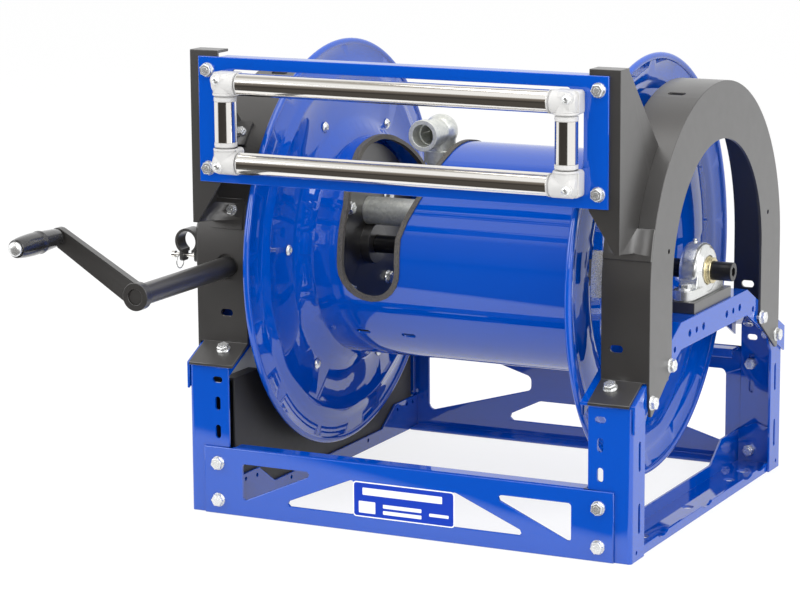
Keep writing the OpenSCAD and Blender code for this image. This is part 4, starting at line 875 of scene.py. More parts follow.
@dataclass
class Fasteners:
    """Hexagonal bolts with nuts, and dome screws, where the model holds them.

    Attributes:
        nodes: Node and body of each set.
        flange: Radius of the standard bolt's flange in metres.
        head: Height of its head.
        tail: Reach of its shank past the grip.
        overlap: Reach of its shank into the head.
        twist: Turn from each bolt's corners to the next bolt's, in degrees.
        edge: Radius of the rounded edges.
        rim: Share of the widest reach that counts as the head's rim.
        tail_part: Share of the whole length that counts as the tail.
        tail_reach: Least share of the widest reach that a nut has.
        merge: Distance in metres below which vertices are merged.
        sharp: Edges sharper than this stay sharp, in degrees.
    """

    nodes: tuple[tuple[str, str], ...] = (
        ("frame_bolts", "frame"), ("bearing_bolts", "frame"), ("roller_bolts", "frame"),
        ("spool_bolts", "drum"),
    )
    flange: float = 0.0105
    head: float = 0.008
    tail: float = 0.010
    overlap: float = 0.001
    twist: float = 37.0
    edge: float = 0.0003
    rim: float = 0.98
    tail_part: float = 0.3
    tail_reach: float = 0.7
    merge: float = 2e-6
    sharp: float = 30.0

    @staticmethod
    def islands(bm: BMesh) -> list[list[BMFace]]:
        """Sort a mesh's faces into connected groups.

        Args:
            bm: The mesh.

        Returns:
            One group of faces for each fastener.
        """
        left = set(bm.faces)
        groups: list[list[BMFace]] = []
        for start in list(bm.faces):
            if start not in left:
                continue
            left.remove(start)
            group, waiting = [], [start]
            while waiting:
                face = waiting.pop()
                group.append(face)
                for edge in face.edges:
                    for other in edge.link_faces:
                        if other in left:
                            left.remove(other)
                            waiting.append(other)
            groups.append(group)
        return groups

    def measure(self, faces: Sequence[BMFace]) -> Bolt | None:
        """Find a bolt's seat, axis, size and grip.

        Args:
            faces: One fastener's faces.

        Returns:
            The bolt, or None for a dome screw.
        """
        areas: dict[Point, float] = {}
        exact: dict[Point, Vector] = {}
        for face in faces:
            normal = face.normal.copy()
            if tuple(round(value, 2) for value in normal) < (0.0, 0.0, 0.0):
                normal.negate()
            key = tuple(round(value, 2) for value in normal)
            areas[key] = areas.get(key, 0.0) + face.calc_area()
            exact[key] = normal
        axis = exact[max(areas, key=lambda k: areas[k])]
        corners = {vert for face in faces for vert in face.verts}
        heights = {vert: vert.co.dot(axis) for vert in corners}
        low, high = min(heights.values()), max(heights.values())
        side = axis.orthogonal().normalized()
        middle = Vector((0.0, 0.0, 0.0))
        for direction in (side, axis.cross(side)):
            spread = [vert.co.dot(direction) for vert in corners]
            middle += direction * (min(spread) + max(spread)) / 2.0
        reach = {vert: (vert.co - middle - axis * heights[vert]).length for vert in corners}
        widest = max(reach.values())
        rim = [heights[vert] for vert in corners if reach[vert] > widest * self.rim]
        rim_height = sum(rim) / len(rim)
        if rim_height - low < high - rim_height:
            axis, low, high = -axis, -high, -low
            heights = {vert: -height for vert, height in heights.items()}
        below = low + (high - low) * self.tail_part
        tail = [reach[vert] for vert in corners if heights[vert] < below]
        if max(tail) < widest * self.tail_reach:
            return None
        size = widest / self.flange
        grip = high - low - (self.head + self.tail) * size
        return Bolt(middle + axis * (high - self.head * size), axis, size, grip)

    def points(self, bolts: Sequence[Bolt]) -> Object:
        """Put one point with its attributes at each bolt's seat.

        Args:
            bolts: The bolts.

        Returns:
            The object that holds the points.
        """
        mesh = bpy.data.meshes.new("bolt_points")
        mesh.from_pydata([tuple(bolt.seat) for bolt in bolts], [], [])
        for name in ("aim", "nut_offset", "end_offset"):
            mesh.attributes.new(name, "FLOAT_VECTOR", "POINT")
        for name in ("size", "reach"):
            mesh.attributes.new(name, "FLOAT", "POINT")
        for index, bolt in enumerate(bolts):
            turn = Vector(UP).rotation_difference(bolt.axis).to_matrix()
            spin = Matrix.Rotation(math.radians(self.twist * index), 3, "Z")
            nut = bolt.grip + BoltTree.SIZES["Nut Height"] * bolt.size
            length = bolt.grip + self.tail * bolt.size
            for name, value in (
                ("aim", (turn @ spin).to_euler()), ("nut_offset", -bolt.axis * nut),
                ("end_offset", -bolt.axis * length),
            ):
                mesh.attributes[name].data[index].vector = value
            for name, value in (("size", bolt.size), ("reach", length + self.overlap)):
                mesh.attributes[name].data[index].value = value
        return put("bolt_points", mesh)

    @staticmethod
    def set_inputs(mod: bpy.types.Modifier, tree: bpy.types.GeometryNodeTree) -> None:
        """Give a bolt tree's modifier its sizes and its finish."""
        values = {"Finish": Paint.ZINC.value.material(), **BoltTree.SIZES}
        for item in tree.interface.items_tree:
            if item.name in values:
                mod[item.identifier] = values[item.name]

    def bolts_mesh(
        self, bolts: Sequence[Bolt], tree: bpy.types.GeometryNodeTree
    ) -> bpy.types.Mesh:
        """Run the tree on a set of bolts.

        Args:
            bolts: The bolts.
            tree: The Geometry Nodes tree.

        Returns:
            Their plain mesh.
        """
        obj = self.points(bolts)
        mod = obj.modifiers.new("bolts", "NODES")
        mod.node_group = tree
        self.set_inputs(mod, tree)
        mesh = applied(obj)
        bpy.data.objects.remove(obj)
        return mesh

    def build(self) -> list[Piece]:
        """Build every set of fasteners as one mesh."""
        tree = BoltTree().build()
        pieces = []
        for node, body in self.nodes:
            bm = Mesher.copied(node, self.merge)
            bm.normal_update()
            bolts: list[Bolt] = []
            spent: list[BMFace] = []
            for group in self.islands(bm):
                bolt = self.measure(group)
                if bolt:
                    bolts.append(bolt)
                    spent += group
            bmesh.ops.delete(bm, geom=spent, context="FACES")
            Mesher.join_flat(bm)
            bm.from_mesh(self.bolts_mesh(bolts, tree))
            Mesher.drop_maps(bm)
            obj = Mesher.finish(bm, node + "_made", Paint.ZINC, self.sharp, recalc=False)
            Mesher.bevel(obj, self.edge, 2, clamp=True)
            log.info("%s: %d hexagonal bolts", node, len(bolts))
            pieces.append(Piece(obj, body, "zinc", (node,)))
        return pieces


# Sub-assemblies ----------------------------------------------------------------


@dataclass
class Structure:
    """The bent-sheet frame, arches, brackets and guards.

    Attributes:
        blue: Blue pieces.
        crossing: Blue rails across the front and the rear.
        black: Black pieces.
        edge: Radius of a sheet's rounded edges in metres.
        bend: The same on the crossing rails.
        straight: Length in metres from which an edge is rounded.
        bend_straight: The same on the crossing rails.
    """

    blue: tuple[str, ...] = (
        "base_rail_left", "base_rail_right",
        "post_front_left", "post_front_right", "post_rear_left", "post_rear_right",
        "bearing_beam_left", "bearing_beam_right", "roller_plate",
    )
    crossing: tuple[str, ...] = ("front_rail", "rear_rail")
    black: tuple[str, ...] = (
        "arch_left", "arch_right", "roller_bracket_left", "roller_bracket_right",
        "crank_pedestal", "crank_flange", "swivel_bracket", "guard_outer",
    )
    edge: float = 0.0008
    bend: float = 0.0014
    straight: float = 0.012
    bend_straight: float = 0.05

    def build(self) -> list[Piece]:
        """Dress every sheet piece of the structure."""
        groups = (
            (self.blue, "blue", Paint.BLUE, self.edge, self.straight),
            (self.crossing, "blue", Paint.BLUE, self.bend, self.bend_straight),
            (self.black, "black_paint", Paint.BLACK, self.edge, self.straight),
            (("guard_inner",), "black_paint", Paint.MATT_BLACK, self.edge, self.straight),
        )
        return [
            NodeDress(node, "frame", slot, paint, edge, long_edges=reach).build()
            for nodes, slot, paint, edge, reach in groups
            for node in nodes
        ]


@dataclass
class Nameplate:
    """The thin plate on the front rail, with its fields left blank.

    Attributes:
        middle: Centre of the plate, x and z.
        half: Its half width and half height.
        face: Distance of the rail's face to the middle.
        thickness: The plate's thickness.
        corner: Radius of its corners.
        sunk: How far its back lies in the rail.
    """

    middle: Pair = (2.0, 47.5)
    half: Pair = (79.0, 25.5)
    face: float = 306.5
    thickness: float = 0.5
    corner: float = 5.0
    sunk: float = 0.1

    def build(self) -> list[Piece]:
        """Build the plate."""
        bm = bmesh.new()
        place = shift(self.middle[0], -self.face + self.sunk, self.middle[1]) @ UPRIGHT
        outline = Mesher.rounded(*self.half, self.corner)
        Mesher.slab(bm, outline, place, self.thickness + self.sunk)
        return [Piece(Mesher.finish(bm, "rail_plate", Paint.PLATE), "frame", "blue")]


@dataclass
class RollerGuide:
    """Steel rollers with white end collars, and the moulded corner blocks.

    Attributes:
        stand: Distance of the rollers' axes to the middle.
        radius: Radius of the rollers.
        half_long: Half length of the horizontal rollers.
        rows: Heights of the horizontal rollers, bottom and top.
        side: Distance of the upright rollers to the middle.
        upright: Lowest and highest point of the upright rollers.
        collars: Length of a white collar on the horizontal and the upright rollers.
        sunk: How far the steel lies below the collars.
        wall: Wall of the steel tube.
        bore: Radius of the plugs' bore.
        face: Distance of the plate's face to the middle.
        block_depth: Depth of a corner block at its screw.
        base_depth: Depth of its flat base.
        base_corner: Radius of the base's corners.
        sleeve: Radius of its sleeve about a roller's end.
        gap: Gap between a horizontal roller and the base.
        block_outer: Distance of the blocks' outer ends to the middle.
        block_rows: Bottom and top of the lower and the upper blocks.
        screws: Heights of the blocks' screws.
        screw_x: Distance of the screws to the middle.
    """

    stand: float = 333.0
    radius: float = 16.0
    half_long: float = 237.5
    rows: Pair = (517.0, 628.0)
    side: float = 258.0
    upright: Pair = (538.5, 611.5)
    collars: Pair = (3.0, 7.5)
    sunk: float = 0.25
    wall: float = 3.0
    bore: float = 4.3
    face: float = 316.0
    block_depth: float = 33.8
    base_depth: float = 19.0
    base_corner: float = 5.0
    sleeve: float = 16.6
    gap: float = 0.7
    block_outer: float = 277.0
    block_rows: tuple[Pair, ...] = ((501.5, 538.0), (612.0, 644.0))
    screws: Pair = (513.0, 634.0)
    screw_x: float = 264.0

    def roller(
        self, node: str, start: Pair, axis: Point, length: float, collar: float
    ) -> list[Piece]:
        """Build one roller: its steel sleeve, and the white plugs with their collars.

        Args:
            node: The node that it replaces.
            start: Its end, x and z.
            axis: Direction of its axis.
            length: Its length.
            collar: Length of each collar.

        Returns:
            The sleeve and the plugs.
        """
        place = axis_matrix((start[0], -self.stand, start[1]), axis)
        skin, end = self.radius - self.sunk, length - collar
        tube = [
            (skin - self.wall, collar), (skin - 0.6, collar), (skin, collar + 0.6),
            (skin, end - 0.6), (skin - 0.6, end), (skin - self.wall, end),
        ]
        bore, rim = self.bore, self.radius
        plug = [
            (bore, 0.0), (rim - 3.4, 0.0), (rim - 2.2, 0.5), (rim - 1.9, 1.2),
            (rim - 0.5, 1.6), (rim, 2.2), (rim, collar - 0.2), (rim - 0.6, collar + 0.1),
            (bore, collar + 0.1),
        ]
        both = [
            ([(radius, origin + way * height) for radius, height in plug], place)
            for origin, way in ((0.0, 1.0), (length, -1.0))
        ]
        body = node + "_body"
        sleeve = Mesher.turned(node + "_sleeve", Paint.STAINLESS, [(tube, place)], 72)
        plugs = Mesher.turned(node + "_plugs", Paint.WHITE, both, 48)
        return [
            Piece(sleeve, body, "stainless", (node,)), Piece(plugs, body, "white_plastic"),
        ]

    def block(self, bm: BMesh, side: float, row: int) -> None:
        """Add one corner block.

        Args:
            bm: The mesh that is added to.
            side: -1 for the left end and 1 for the right.
            row: 0 for the lower row and 1 for the upper.
        """
        low, high = self.block_rows[row]
        inner, outer = self.half_long + self.gap, self.block_outer
        back = shift(side * (inner + outer) / 2.0, -self.face, (low + high) / 2.0) @ UPRIGHT
        base = Mesher.rounded((outer - inner) / 2.0, (high - low) / 2.0, self.base_corner)
        Mesher.slab(bm, base, back, self.base_depth)
        skin, reach = self.sleeve, self.block_depth
        tip, way = (high, -1.0) if row == 0 else (low, 1.0)
        arm = axis_matrix((side * inner, -self.stand, self.rows[row]), (side, 0.0, 0.0))
        leg = axis_matrix((side * self.side, -self.stand, tip), (0.0, 0.0, way))
        boss = axis_matrix((side * self.screw_x, -self.face, self.screws[row]), FRONT)
        sleeve = [(0.0, 0.0), (skin - 0.8, 0.0), (skin, 0.8), (skin, 30.0), (skin - 5.0, 36.0),
                  (0.0, 38.0)]
        cup = [(0.0, 0.0), (17.0, 0.0), (17.6, 0.5), (17.6, 3.0), (16.8, 3.8), (16.4, 4.2),
               (16.4, 25.0), (12.0, 31.0), (0.0, 32.0)]
        knob = [(0.0, 0.0), (9.5, 0.0), (9.0, reach - 1.5), (8.2, reach - 0.3), (7.0, reach),
                (0.0, reach)]
        for profile, place, steps in ((sleeve, arm, 48), (cup, leg, 48), (knob, boss, 40)):
            Mesher.revolve(bm, profile, place, steps)

    def blocks(self) -> Piece:
        """Build the four corner blocks."""
        bm = bmesh.new()
        for side in (-1.0, 1.0):
            for row in (0, 1):
                self.block(bm, side, row)
        obj = Mesher.finish(bm, "corner_blocks_moulded", Paint.WHITE, 28.0)
        Mesher.bevel(obj, 0.0009)
        return Piece(obj, "frame", "white_plastic", ("corner_blocks",))

    def build(self) -> list[Piece]:
        """Build the four rollers and the blocks."""
        pieces: list[Piece] = []
        for name, height in zip(("bottom", "top"), self.rows):
            pieces += self.roller("roller_" + name, (-self.half_long, height), RIGHT,
                                  self.half_long * 2.0, self.collars[0])
        low, high = self.upright
        for name, x in (("left", -self.side), ("right", self.side)):
            pieces += self.roller("roller_" + name, (x, low), UP, high - low, self.collars[1])
        return [*pieces, self.blocks()]


@dataclass
class Bearings:
    """Pillow blocks: a rounded barrel on a foot with ears, and a grease nipple.

    Attributes:
        middle: Distance of the bearings to the middle.
        axle: Height of the axle.
        half_width: Half width of the housing.
        barrel: Radius of the barrel.
        rings: Radius of the bearing ring, left and right.
        floor: Height of the foot's bottom.
        foot: Height of the foot.
        foot_half: Half length of the foot.
        web: Width of the web between the foot and the barrel.
        bores: Radius of the axle in each bearing, left and right.
        collar: Reach of a locking collar past the housing.
        step: How much smaller the collar is than the ring.
    """

    middle: float = 320.0
    axle: float = 354.0
    half_width: float = 17.0
    barrel: float = 39.0
    rings: Pair = (27.55, 20.05)
    floor: float = 319.5
    foot: float = 15.0
    foot_half: float = 70.0
    web: float = 26.0
    bores: Pair = (21.05, 13.55)
    collar: float = 6.5
    step: float = 1.6

    def housing(self, name: str, side: float, ring: float) -> Piece:
        """Build one housing.

        Args:
            name: The node that it replaces.
            side: -1 for the left bearing and 1 for the right.
            ring: Radius of the bore.

        Returns:
            The housing.
        """
        bm = bmesh.new()
        half = self.half_width
        place = axis_matrix((side * self.middle, 0.0, self.axle), (side, 0.0, 0.0))
        lip = max(ring + 0.5, 20.6)
        profile = [
            (ring, -half + 1.0), (lip + 2.0, -half), (34.5, -half + 0.3), (37.4, -half + 1.8),
            (38.8, -half + 4.4), (self.barrel, -half + 7.5), (self.barrel, half - 12.0),
            (38.6, half - 8.6), (37.2, half - 5.6), (34.8, half - 3.2), (32.6, half - 2.2),
            (31.6, half - 0.8), (30.4, half), (lip + 2.4, half), (lip + 0.8, half - 0.8),
            (lip, half - 2.6), (ring, half - 3.0),
        ]
        Mesher.revolve(bm, profile, place, 72, closed=True)
        sole = [
            (16.0, -58.0), (17.0, 0.0), (16.0, 58.0), (12.5, 66.0), (6.0, self.foot_half),
            (-6.0, self.foot_half), (-12.5, 66.0), (-16.0, 58.0), (-17.0, 0.0), (-16.0, -58.0),
            (-12.5, -66.0), (-6.0, -self.foot_half), (6.0, -self.foot_half), (12.5, -66.0),
        ]
        Mesher.slab(bm, sole, shift(side * self.middle, 0.0, self.floor), self.foot)
        across = Matrix.Rotation(math.radians(90.0), 4, "Z") @ UPRIGHT
        start = shift(side * self.middle - self.web / 2.0, 0.0, 0.0) @ across
        top = self.floor + self.foot - 1.0
        web = [(-41.0, top), (41.0, top), (37.5, self.axle - 6.0), (32.0, self.axle + 12.0),
               (-32.0, self.axle + 12.0), (-37.5, self.axle - 6.0)]
        Mesher.slab(bm, web, start, self.web)
        spout = axis_matrix(
            ((self.middle - 6.0) * side, 0.0, self.axle + self.barrel - 3.0), UP
        )
        nipple = [(0.0, 0.0), (4.4, 0.0), (4.4, 4.4), (2.4, 4.8), (2.4, 5.6), (3.0, 6.2),
                  (2.6, 7.6), (1.2, 8.0), (0.0, 8.0)]
        Mesher.revolve(bm, nipple, spout, 24)
        obj = Mesher.finish(bm, name + "_cast", Paint.CASTING, 34.0)
        Mesher.bevel(obj, 0.0011)
        return Piece(obj, "frame", "casting", (name,))

    def collars(self) -> Piece:
        """Build the turning rings and the locking collars on the axle."""
        parts = []
        half, ends = self.half_width, self.half_width + self.collar
        for side, bore, ring in zip((-1.0, 1.0), self.bores, self.rings):
            place = axis_matrix((side * self.middle, 0.0, self.axle), (side, 0.0, 0.0))
            skin, rim = ring - 0.05, ring - self.step
            profile = [
                (bore, -half), (skin, -half), (skin, half - 1.2), (skin - 0.8, half - 0.2),
                (rim, half), (rim, ends - 0.6), (rim - 0.6, ends), (bore + 0.5, ends),
                (bore, ends - 0.5),
            ]
            parts.append((profile, place))
        obj = Mesher.turned("locking_collars_turned", Paint.GILT, parts, 64, 34.0)
        return Piece(obj, "drum", "brass", ("locking_collars",))

    def build(self) -> list[Piece]:
        """Build both housings and the collars."""
        return [
            self.housing("pillow_block_left", -1.0, self.rings[0]),
            self.housing("pillow_block_right", 1.0, self.rings[1]),
            self.collars(),
        ]


@dataclass
class CrankHandle:
    """The turning grip and the metal end of its spindle.

    Attributes:
        axis_x: The crank shaft's place along X.
        axis_z: The crank shaft's height.
        throw: Length of the arm.
        angle: The arm's angle above the level, in degrees.
        face: Distance of the arm's front face to the middle.
        length: The grip's length.
        bore: Radius of the grip's bore.
    """

    axis_x: float = -301.0
    axis_z: float = 354.0
    throw: float = 143.5
    angle: float = 31.0
    face: float = 512.0
    length: float = 104.0
    bore: float = 5.1

    def place(self) -> Matrix:
        """Return the grip's start, with local Z towards the front."""
        turn = math.radians(self.angle)
        x = self.axis_x - self.throw * math.cos(turn)
        z = self.axis_z + self.throw * math.sin(turn)
        return axis_matrix((x, -self.face, z), FRONT)

    def grip(self) -> Piece:
        """Build the tapered grip with its ridge and rounded end."""
        end = self.length - 1.5
        profile = [
            (self.bore, 2.0), (10.5, 2.0), (11.8, 3.0), (12.4, 5.4), (13.2, 18.0),
            (14.2, 34.0), (15.0, 44.6), (16.0, 45.4), (16.0, 47.6), (15.4, 48.6),
            (15.6, 58.0), (15.5, 70.0), (15.0, 82.0), (14.2, 92.0), (13.4, 98.0),
            (12.6, end - 0.8), (11.6, end), (10.6, end - 0.6), (10.3, end - 3.0),
            (self.bore, end - 3.0),
        ]
        parts = [(profile, self.place())]
        obj = Mesher.turned("crank_grip_turned", Paint.GRIP, parts, 64, 38.0)
        return Piece(obj, "grip", "black_plastic", ("crank_grip",))

    def spindle(self) -> Piece:
        """Build the spindle with its domed end in the grip."""
        end = self.length
        profile = [
            (0.0, -17.0), (7.0, -17.0), (8.6, -16.0), (8.6, -12.2), (4.9, -12.0),
            (4.9, end - 4.0), (9.9, end - 4.0), (10.2, end + 0.2), (9.8, end + 2.2),
            (8.4, end + 3.9), (5.6, end + 5.2), (3.0, end + 5.7), (0.0, end + 5.8),
        ]
        parts = [(profile, self.place())]
        obj = Mesher.turned("grip_spindle_turned", Paint.ZINC, parts, 48, 38.0, closed=False)
        return Piece(obj, "crank", "zinc", ("grip_spindle",))

    def build(self) -> list[Piece]:
        """Build the grip and its spindle."""
        return [self.grip(), self.spindle()]


@dataclass
class DrumShell:
    """The drum's tube with its two tie slots.

    Attributes:
        below: Direction of the slots from the axis, in degrees below the front.
        middles: Places of the slots along the axis.
        length: Length of a slot.
        width: Width of a slot.
        round_end: Radius of its ends, as a share of the width.
        inset: How far inside the tube's skin the cut starts.
        depth: Depth of the cut.
        margin: Length of tube cut apart beside a slot, so that the rest stays smooth.
        sharp: Edges sharper than this stay sharp, in degrees.
    """

    below: float = 41.9
    middles: tuple[float, ...] = (-153.9, -80.2)
    length: float = 22.5
    width: float = 8.5
    round_end: float = 0.49
    inset: float = 12.0
    depth: float = 24.0
    margin: float = 4.0
    sharp: float = 32.0

    def section(self, shell: Object) -> None:
        """Cut the tube's faces across on both sides of each slot.

        Args:
            shell: The tube, whose mesh is changed.
        """
        bm = bmesh.new()
        bm.from_mesh(shell.data)
        reach = self.length / 2.0 + self.margin
        for middle in self.middles:
            for side in (-reach, reach):
                bmesh.ops.bisect_plane(
                    bm, geom=[*bm.verts, *bm.edges, *bm.faces], dist=1e-6,
                    plane_co=((middle + side) * MM, 0.0, 0.0), plane_no=RIGHT,
                )
        bm.to_mesh(shell.data)
        bm.free()

    def cutter(self) -> Object:
        """Build the two plugs that cut the slots."""
        low, high = (Vector(corner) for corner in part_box("drum_shell"))
        turn = math.radians(self.below)
        way = Vector((0.0, -math.cos(turn), -math.sin(turn)))
        start = (low + high) / 2.0 + way * ((high.y - low.y) / 2.0 - self.inset * MM)
        outline = Mesher.rounded(
            self.length / 2.0, self.width / 2.0, self.width * self.round_end
        )
        bm = bmesh.new()
        for middle in self.middles:
            place = axis_matrix((middle, start.y / MM, start.z / MM), tuple(way))
            Mesher.slab(bm, outline, place, self.depth)
        return Mesher.finish(bm, "slot_cutter", Paint.BLUE)

    def build(self) -> list[Piece]:
        """Dress the tube and cut its slots."""
        piece = NodeDress("drum_shell", "drum", "blue", Paint.BLUE, 0.0).build()
        shell, cutter = piece.obj, self.cutter()
        self.section(shell)
        cut = shell.modifiers.new("slots", "BOOLEAN")
        cut.operation, cut.solver, cut.object = "DIFFERENCE", "EXACT", cutter
        shell.data = applied(shell)
        shell.data.set_sharp_from_angle(angle=math.radians(self.sharp))
        bpy.data.objects.remove(cutter)
        return [piece]


@dataclass
class SmallParts:
    """Fittings that keep their CAD shape.

    Attributes:
        table: Node, body, slot, finish and radius of the rounded edges of each, and
            from which length an edge is rounded where not all are.
    """

    table: tuple[tuple[str | Paint | float, ...], ...] = (
        ("bearing_riser_left", "frame", "black_plastic", Paint.BLACK, 0.0008),
        ("bearing_riser_right", "frame", "black_plastic", Paint.BLACK, 0.0008),
        ("roller_pins", "frame", "zinc", Paint.ZINC, 0.0),
        ("swivel_joint", "frame", "brass", Paint.BRASS, 0.0007),
        ("drive_motor", "frame", "motor_grey", Paint.MOTOR, 0.0008),
        ("crank_clip", "frame", "black_plastic", Paint.BLACK, 0.0005),
        ("brake_bracket", "frame", "zinc", Paint.ZINC, 0.0006),
        ("brake_pad", "frame", "rubber", Paint.RUBBER, 0.0006),
        ("drum_edge_trim", "drum", "rubber", Paint.RUBBER, 0.0),
        ("disc_left", "drum", "blue", Paint.BLUE, 0.0),
        ("disc_right", "drum", "blue", Paint.BLUE, 0.0),
        ("hub_plate_left", "drum", "black_paint", Paint.BLACK, 0.0008),
        ("hub_plate_right", "drum", "black_paint", Paint.BLACK, 0.0008),
        ("axle_pipe", "drum", "steel_dark", Paint.OILED, 0.0005),
        ("axle_shaft", "drum", "steel_dark", Paint.GLOSS_BLACK, 0.0007),
        ("manifold", "drum", "black_paint", Paint.BLACK, 0.0006),
        ("riser_pipe", "drum", "galvanised", Paint.GALVANISED, 0.0),
        ("outlet_elbow", "drum", "galvanised", Paint.GALVANISED, 0.0008, 0.0005),
        ("bevel_gear", "drum", "steel_dark", Paint.OILED, 0.0004, 0.012),
        ("crank_shaft", "crank", "black_paint", Paint.BLACK, 0.0008),
        ("crank_arm", "crank", "black_paint", Paint.BLACK, 0.0008),
        ("bevel_pinion", "crank", "steel_dark", Paint.OILED, 0.0),
        ("clip_pin", "pin", "stainless", Paint.STAINLESS, 0.0),
        ("pull_ring", "ring", "zinc", Paint.ZINC, 0.0),
    )

    def build(self) -> list[Piece]:
        """Dress every small part."""
        return [
            NodeDress(node, body, slot, paint, edge, long_edges=sum(reach)).build()
            for node, body, slot, paint, edge, *reach in self.table
        ]


# Stage -------------------------------------------------------------------------


@dataclass
class Studio:
    """Camera, soft lamps, white floor and background.

    Attributes:
        camera_at: The camera's place.
        yaw: Turn of the view about the vertical, in degrees.
        pitch: Downward tilt of the view, in degrees.
        roll: Turn about the view's own axis, in degrees.
        lens: Focal length in millimetres.
        sensor: Width of the sensor in millimetres.
        sheet_turn: Turn of the white sheet's edge in reflections, in degrees.
        sheet_end: Distance of that edge to the middle.
        glow: Share of the floor's white that is its own light.
        floor_light: Strength of that light.
        grey: The floor's and the surround's own shade.
        ceiling: The surround's shade overhead.
        card: The dark screen's shades, from its foot to its top.
        sheet_dark: The floor's shade beyond the sheet's edge in reflections.
        floor_half: Half width of the floor.
        floor_drop: How far the floor lies below the reel.
        target: The point that the lamps face.
        lamps: Name, place, width and power in watts of each lamp.
    """

    camera_at: Point = (1.7789, -3.8820, 1.1178)
    yaw: float = 26.47
    pitch: float = 11.05
    roll: float = -0.36
    lens: float = 132.869
    sensor: float = 36.0
    sheet_turn: float = 19.9
    sheet_end: float = 0.476
    glow: float = 0.72
    floor_light: float = 1.09
    grey: Colour = (0.86, 0.86, 0.86, 1.0)
    ceiling: Colour = (0.34, 0.31, 0.27, 1.0)
    card: tuple[Colour, Colour] = ((0.045, 0.038, 0.033, 1.0), (0.26, 0.23, 0.2, 1.0))
    sheet_dark: Colour = (0.05, 0.045, 0.04, 1.0)
    floor_half: float = 9.0
    floor_drop: float = 0.0005
    target: Point = (0.0, 0.0, 0.35)
    lamps: tuple[tuple[str, Point, float, float], ...] = (
        ("lamp_top", (0.3, -0.6, 2.6), 2.2, 34.0),
        ("lamp_right", (2.6, -0.6, 1.3), 1.6, 30.0),
        ("lamp_left", (-2.2, -1.8, 1.5), 1.6, 26.0),
        ("lamp_front", (0.9, -3.2, 1.4), 1.4, 20.0),
    )

    def camera(self) -> None:
        """Add the camera at the view's angle."""
        yaw, pitch, roll = (math.radians(v) for v in (self.yaw, self.pitch, self.roll))
        back = Vector((
            math.sin(yaw) * math.cos(pitch), -math.cos(yaw) * math.cos(pitch), math.sin(pitch)
        ))
        right = Vector((math.cos(yaw), math.sin(yaw), 0.0))
        up = back.cross(right)
        turned_right = right * math.cos(roll) + up * math.sin(roll)
        turned_up = up * math.cos(roll) - right * math.sin(roll)
        data = bpy.data.cameras.new("camera")
        data.lens = self.lens
        data.sensor_width = self.sensor
        obj = put("camera", data)
        obj.matrix_world = Matrix((
            (turned_right.x, turned_up.x, back.x, self.camera_at[0]),
            (turned_right.y, turned_up.y, back.y, self.camera_at[1]),
            (turned_right.z, turned_up.z, back.z, self.camera_at[2]),
            (0.0, 0.0, 0.0, 1.0),
        ))
        bpy.context.scene.camera = obj

    def lamp(self, name: str, at: Point, size: float, power: float) -> None:
        """Add one soft square lamp that faces the reel.

        Args:
            name: The lamp's name.
            at: Its place.
            size: Its width in metres.
            power: Its power in watts.
        """
        data = bpy.data.lights.new(name, "AREA")
        data.size = size
        data.energy = power
        aim = (Vector(self.target) - Vector(at)).to_track_quat("-Z", "Y")
        place = Matrix.Translation(Vector(at)) @ aim.to_matrix().to_4x4()
        put(name, data).matrix_world = place

    @staticmethod
    def sector(
        tree: Tree, across: Link, depth: Link, rise: Pair,
        fall: Pair, front: Pair,
    ) -> Link:
        """Return 1 in the ways about the front.

        Args:
            tree: The tree that the nodes go into.
            across: The place's or way's X.
            depth: Its Y.
            rise: Where the mask rises, as the sine of the turn from the front.
            fall: Where it falls.
            front: Where it rises with the distance before the middle.

        Returns:
            The mask.
        """
        nearest = 0.001
        side = across / tree.length(across, depth).at_least(nearest)
        return tree.band(side, rise, fall) * tree.ramp(-depth, *front)

    def world(self) -> None:
        """Give the world a white background and a soft studio surround."""
        world = bpy.data.worlds.new("studio")
        world.use_nodes = True
        bpy.context.scene.world = world
        tree = Tree(world.node_tree)
        way = tree.link("ShaderNodeTexCoord", output="Generated")
        across, depth, up = tree.axes(way)
        around = tree.blend(tree.ramp(up, 0.8, 0.9), PURE_WHITE, self.ceiling)
        card = tree.blend(tree.ramp(up, -0.12, 0.36), *self.card)
        screen = self.sector(tree, across, depth, (-0.78, -0.6), (0.42, 0.54), (0.1, 0.3))
        screen = screen * (1.0 - tree.ramp(up, 0.33, 0.44))
        mirrored = tree.blend(screen, around, card)
        seen = (tree.ray("Is Camera Ray") + tree.ray("Is Transmission Ray")).at_most(1.0)
        plain = tree.blend(seen, self.grey, PURE_WHITE)
        colour = tree.blend(tree.ray("Is Glossy Ray"), plain, mirrored)
        background = tree.link("ShaderNodeBackground", None, {"Color": colour, "Strength": 1.0})
        tree.add("ShaderNodeOutputWorld", None, {0: background})

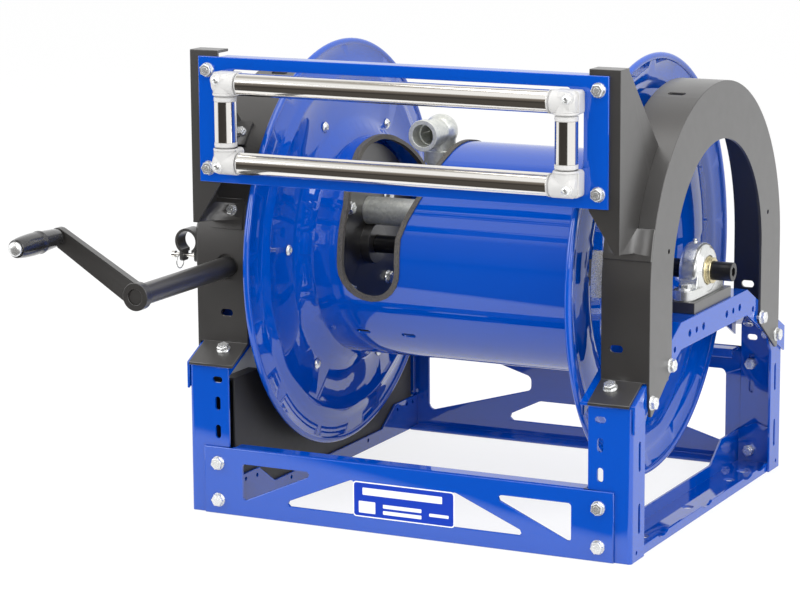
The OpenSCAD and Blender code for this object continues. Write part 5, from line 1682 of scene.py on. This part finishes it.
    def floor(self) -> None:
        """Add a white floor that keeps the reel's shadow.

        In reflections the white sheet ends a short way before the reel.
        """
        bm = bmesh.new()
        bmesh.ops.create_grid(bm, x_segments=1, y_segments=1, size=self.floor_half)
        mesh = bpy.data.meshes.new("floor")
        bm.to_mesh(mesh)
        bm.free()
        material = bpy.data.materials.new("floor_white")
        material.use_nodes = True
        tree = Tree(material.node_tree)
        across, depth, _ = tree.axes(tree.place())
        turn = math.radians(self.sheet_turn)
        past = across * math.sin(turn) - depth * math.cos(turn)
        sector = self.sector(tree, across, depth, (-0.86, -0.72), (0.5, 0.62), (0.0, 0.1))
        dark = sector * tree.ramp(past, self.sheet_end - 0.02, self.sheet_end + 0.03)
        glossy = tree.ray("Is Glossy Ray")
        shade = tree.blend(dark * glossy, self.grey, self.sheet_dark)
        diffuse = tree.link("ShaderNodeBsdfDiffuse", None, {"Color": shade})
        values = {"Color": PURE_WHITE, "Strength": self.floor_light}
        glow = tree.link("ShaderNodeEmission", None, values)
        amount = (
            tree.ray("Is Camera Ray") * self.glow + tree.ray("Is Transmission Ray") * self.glow
            + glossy * (1.0 - dark) * self.glow
        ).at_most(1.0)
        mix = tree.link("ShaderNodeMixShader", None, {0: amount, 1: diffuse, 2: glow})
        tree.add("ShaderNodeOutputMaterial", None, {0: mix})
        mesh.materials.append(material)
        obj = put("floor", mesh)
        obj.location.z = -self.floor_drop

    def build(self) -> None:
        """Set the whole stage."""
        bpy.context.scene.view_settings.view_transform = "Standard"
        self.camera()
        self.world()
        self.floor()
        for lamp in self.lamps:
            self.lamp(*lamp)


def main() -> None:
    """Build the reel's sub-assemblies and the stage in order."""
    logging.basicConfig(level=logging.INFO, format="%(name)s: %(message)s")
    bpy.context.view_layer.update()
    Studio().build()
    groups = (
        Structure(), Nameplate(), RollerGuide(), Bearings(), CrankHandle(), DrumShell(),
        SmallParts(), Fasteners(),
    )
    for group in groups:
        for piece in group.build():
            piece.register()


if __name__ == "__main__":
    main()
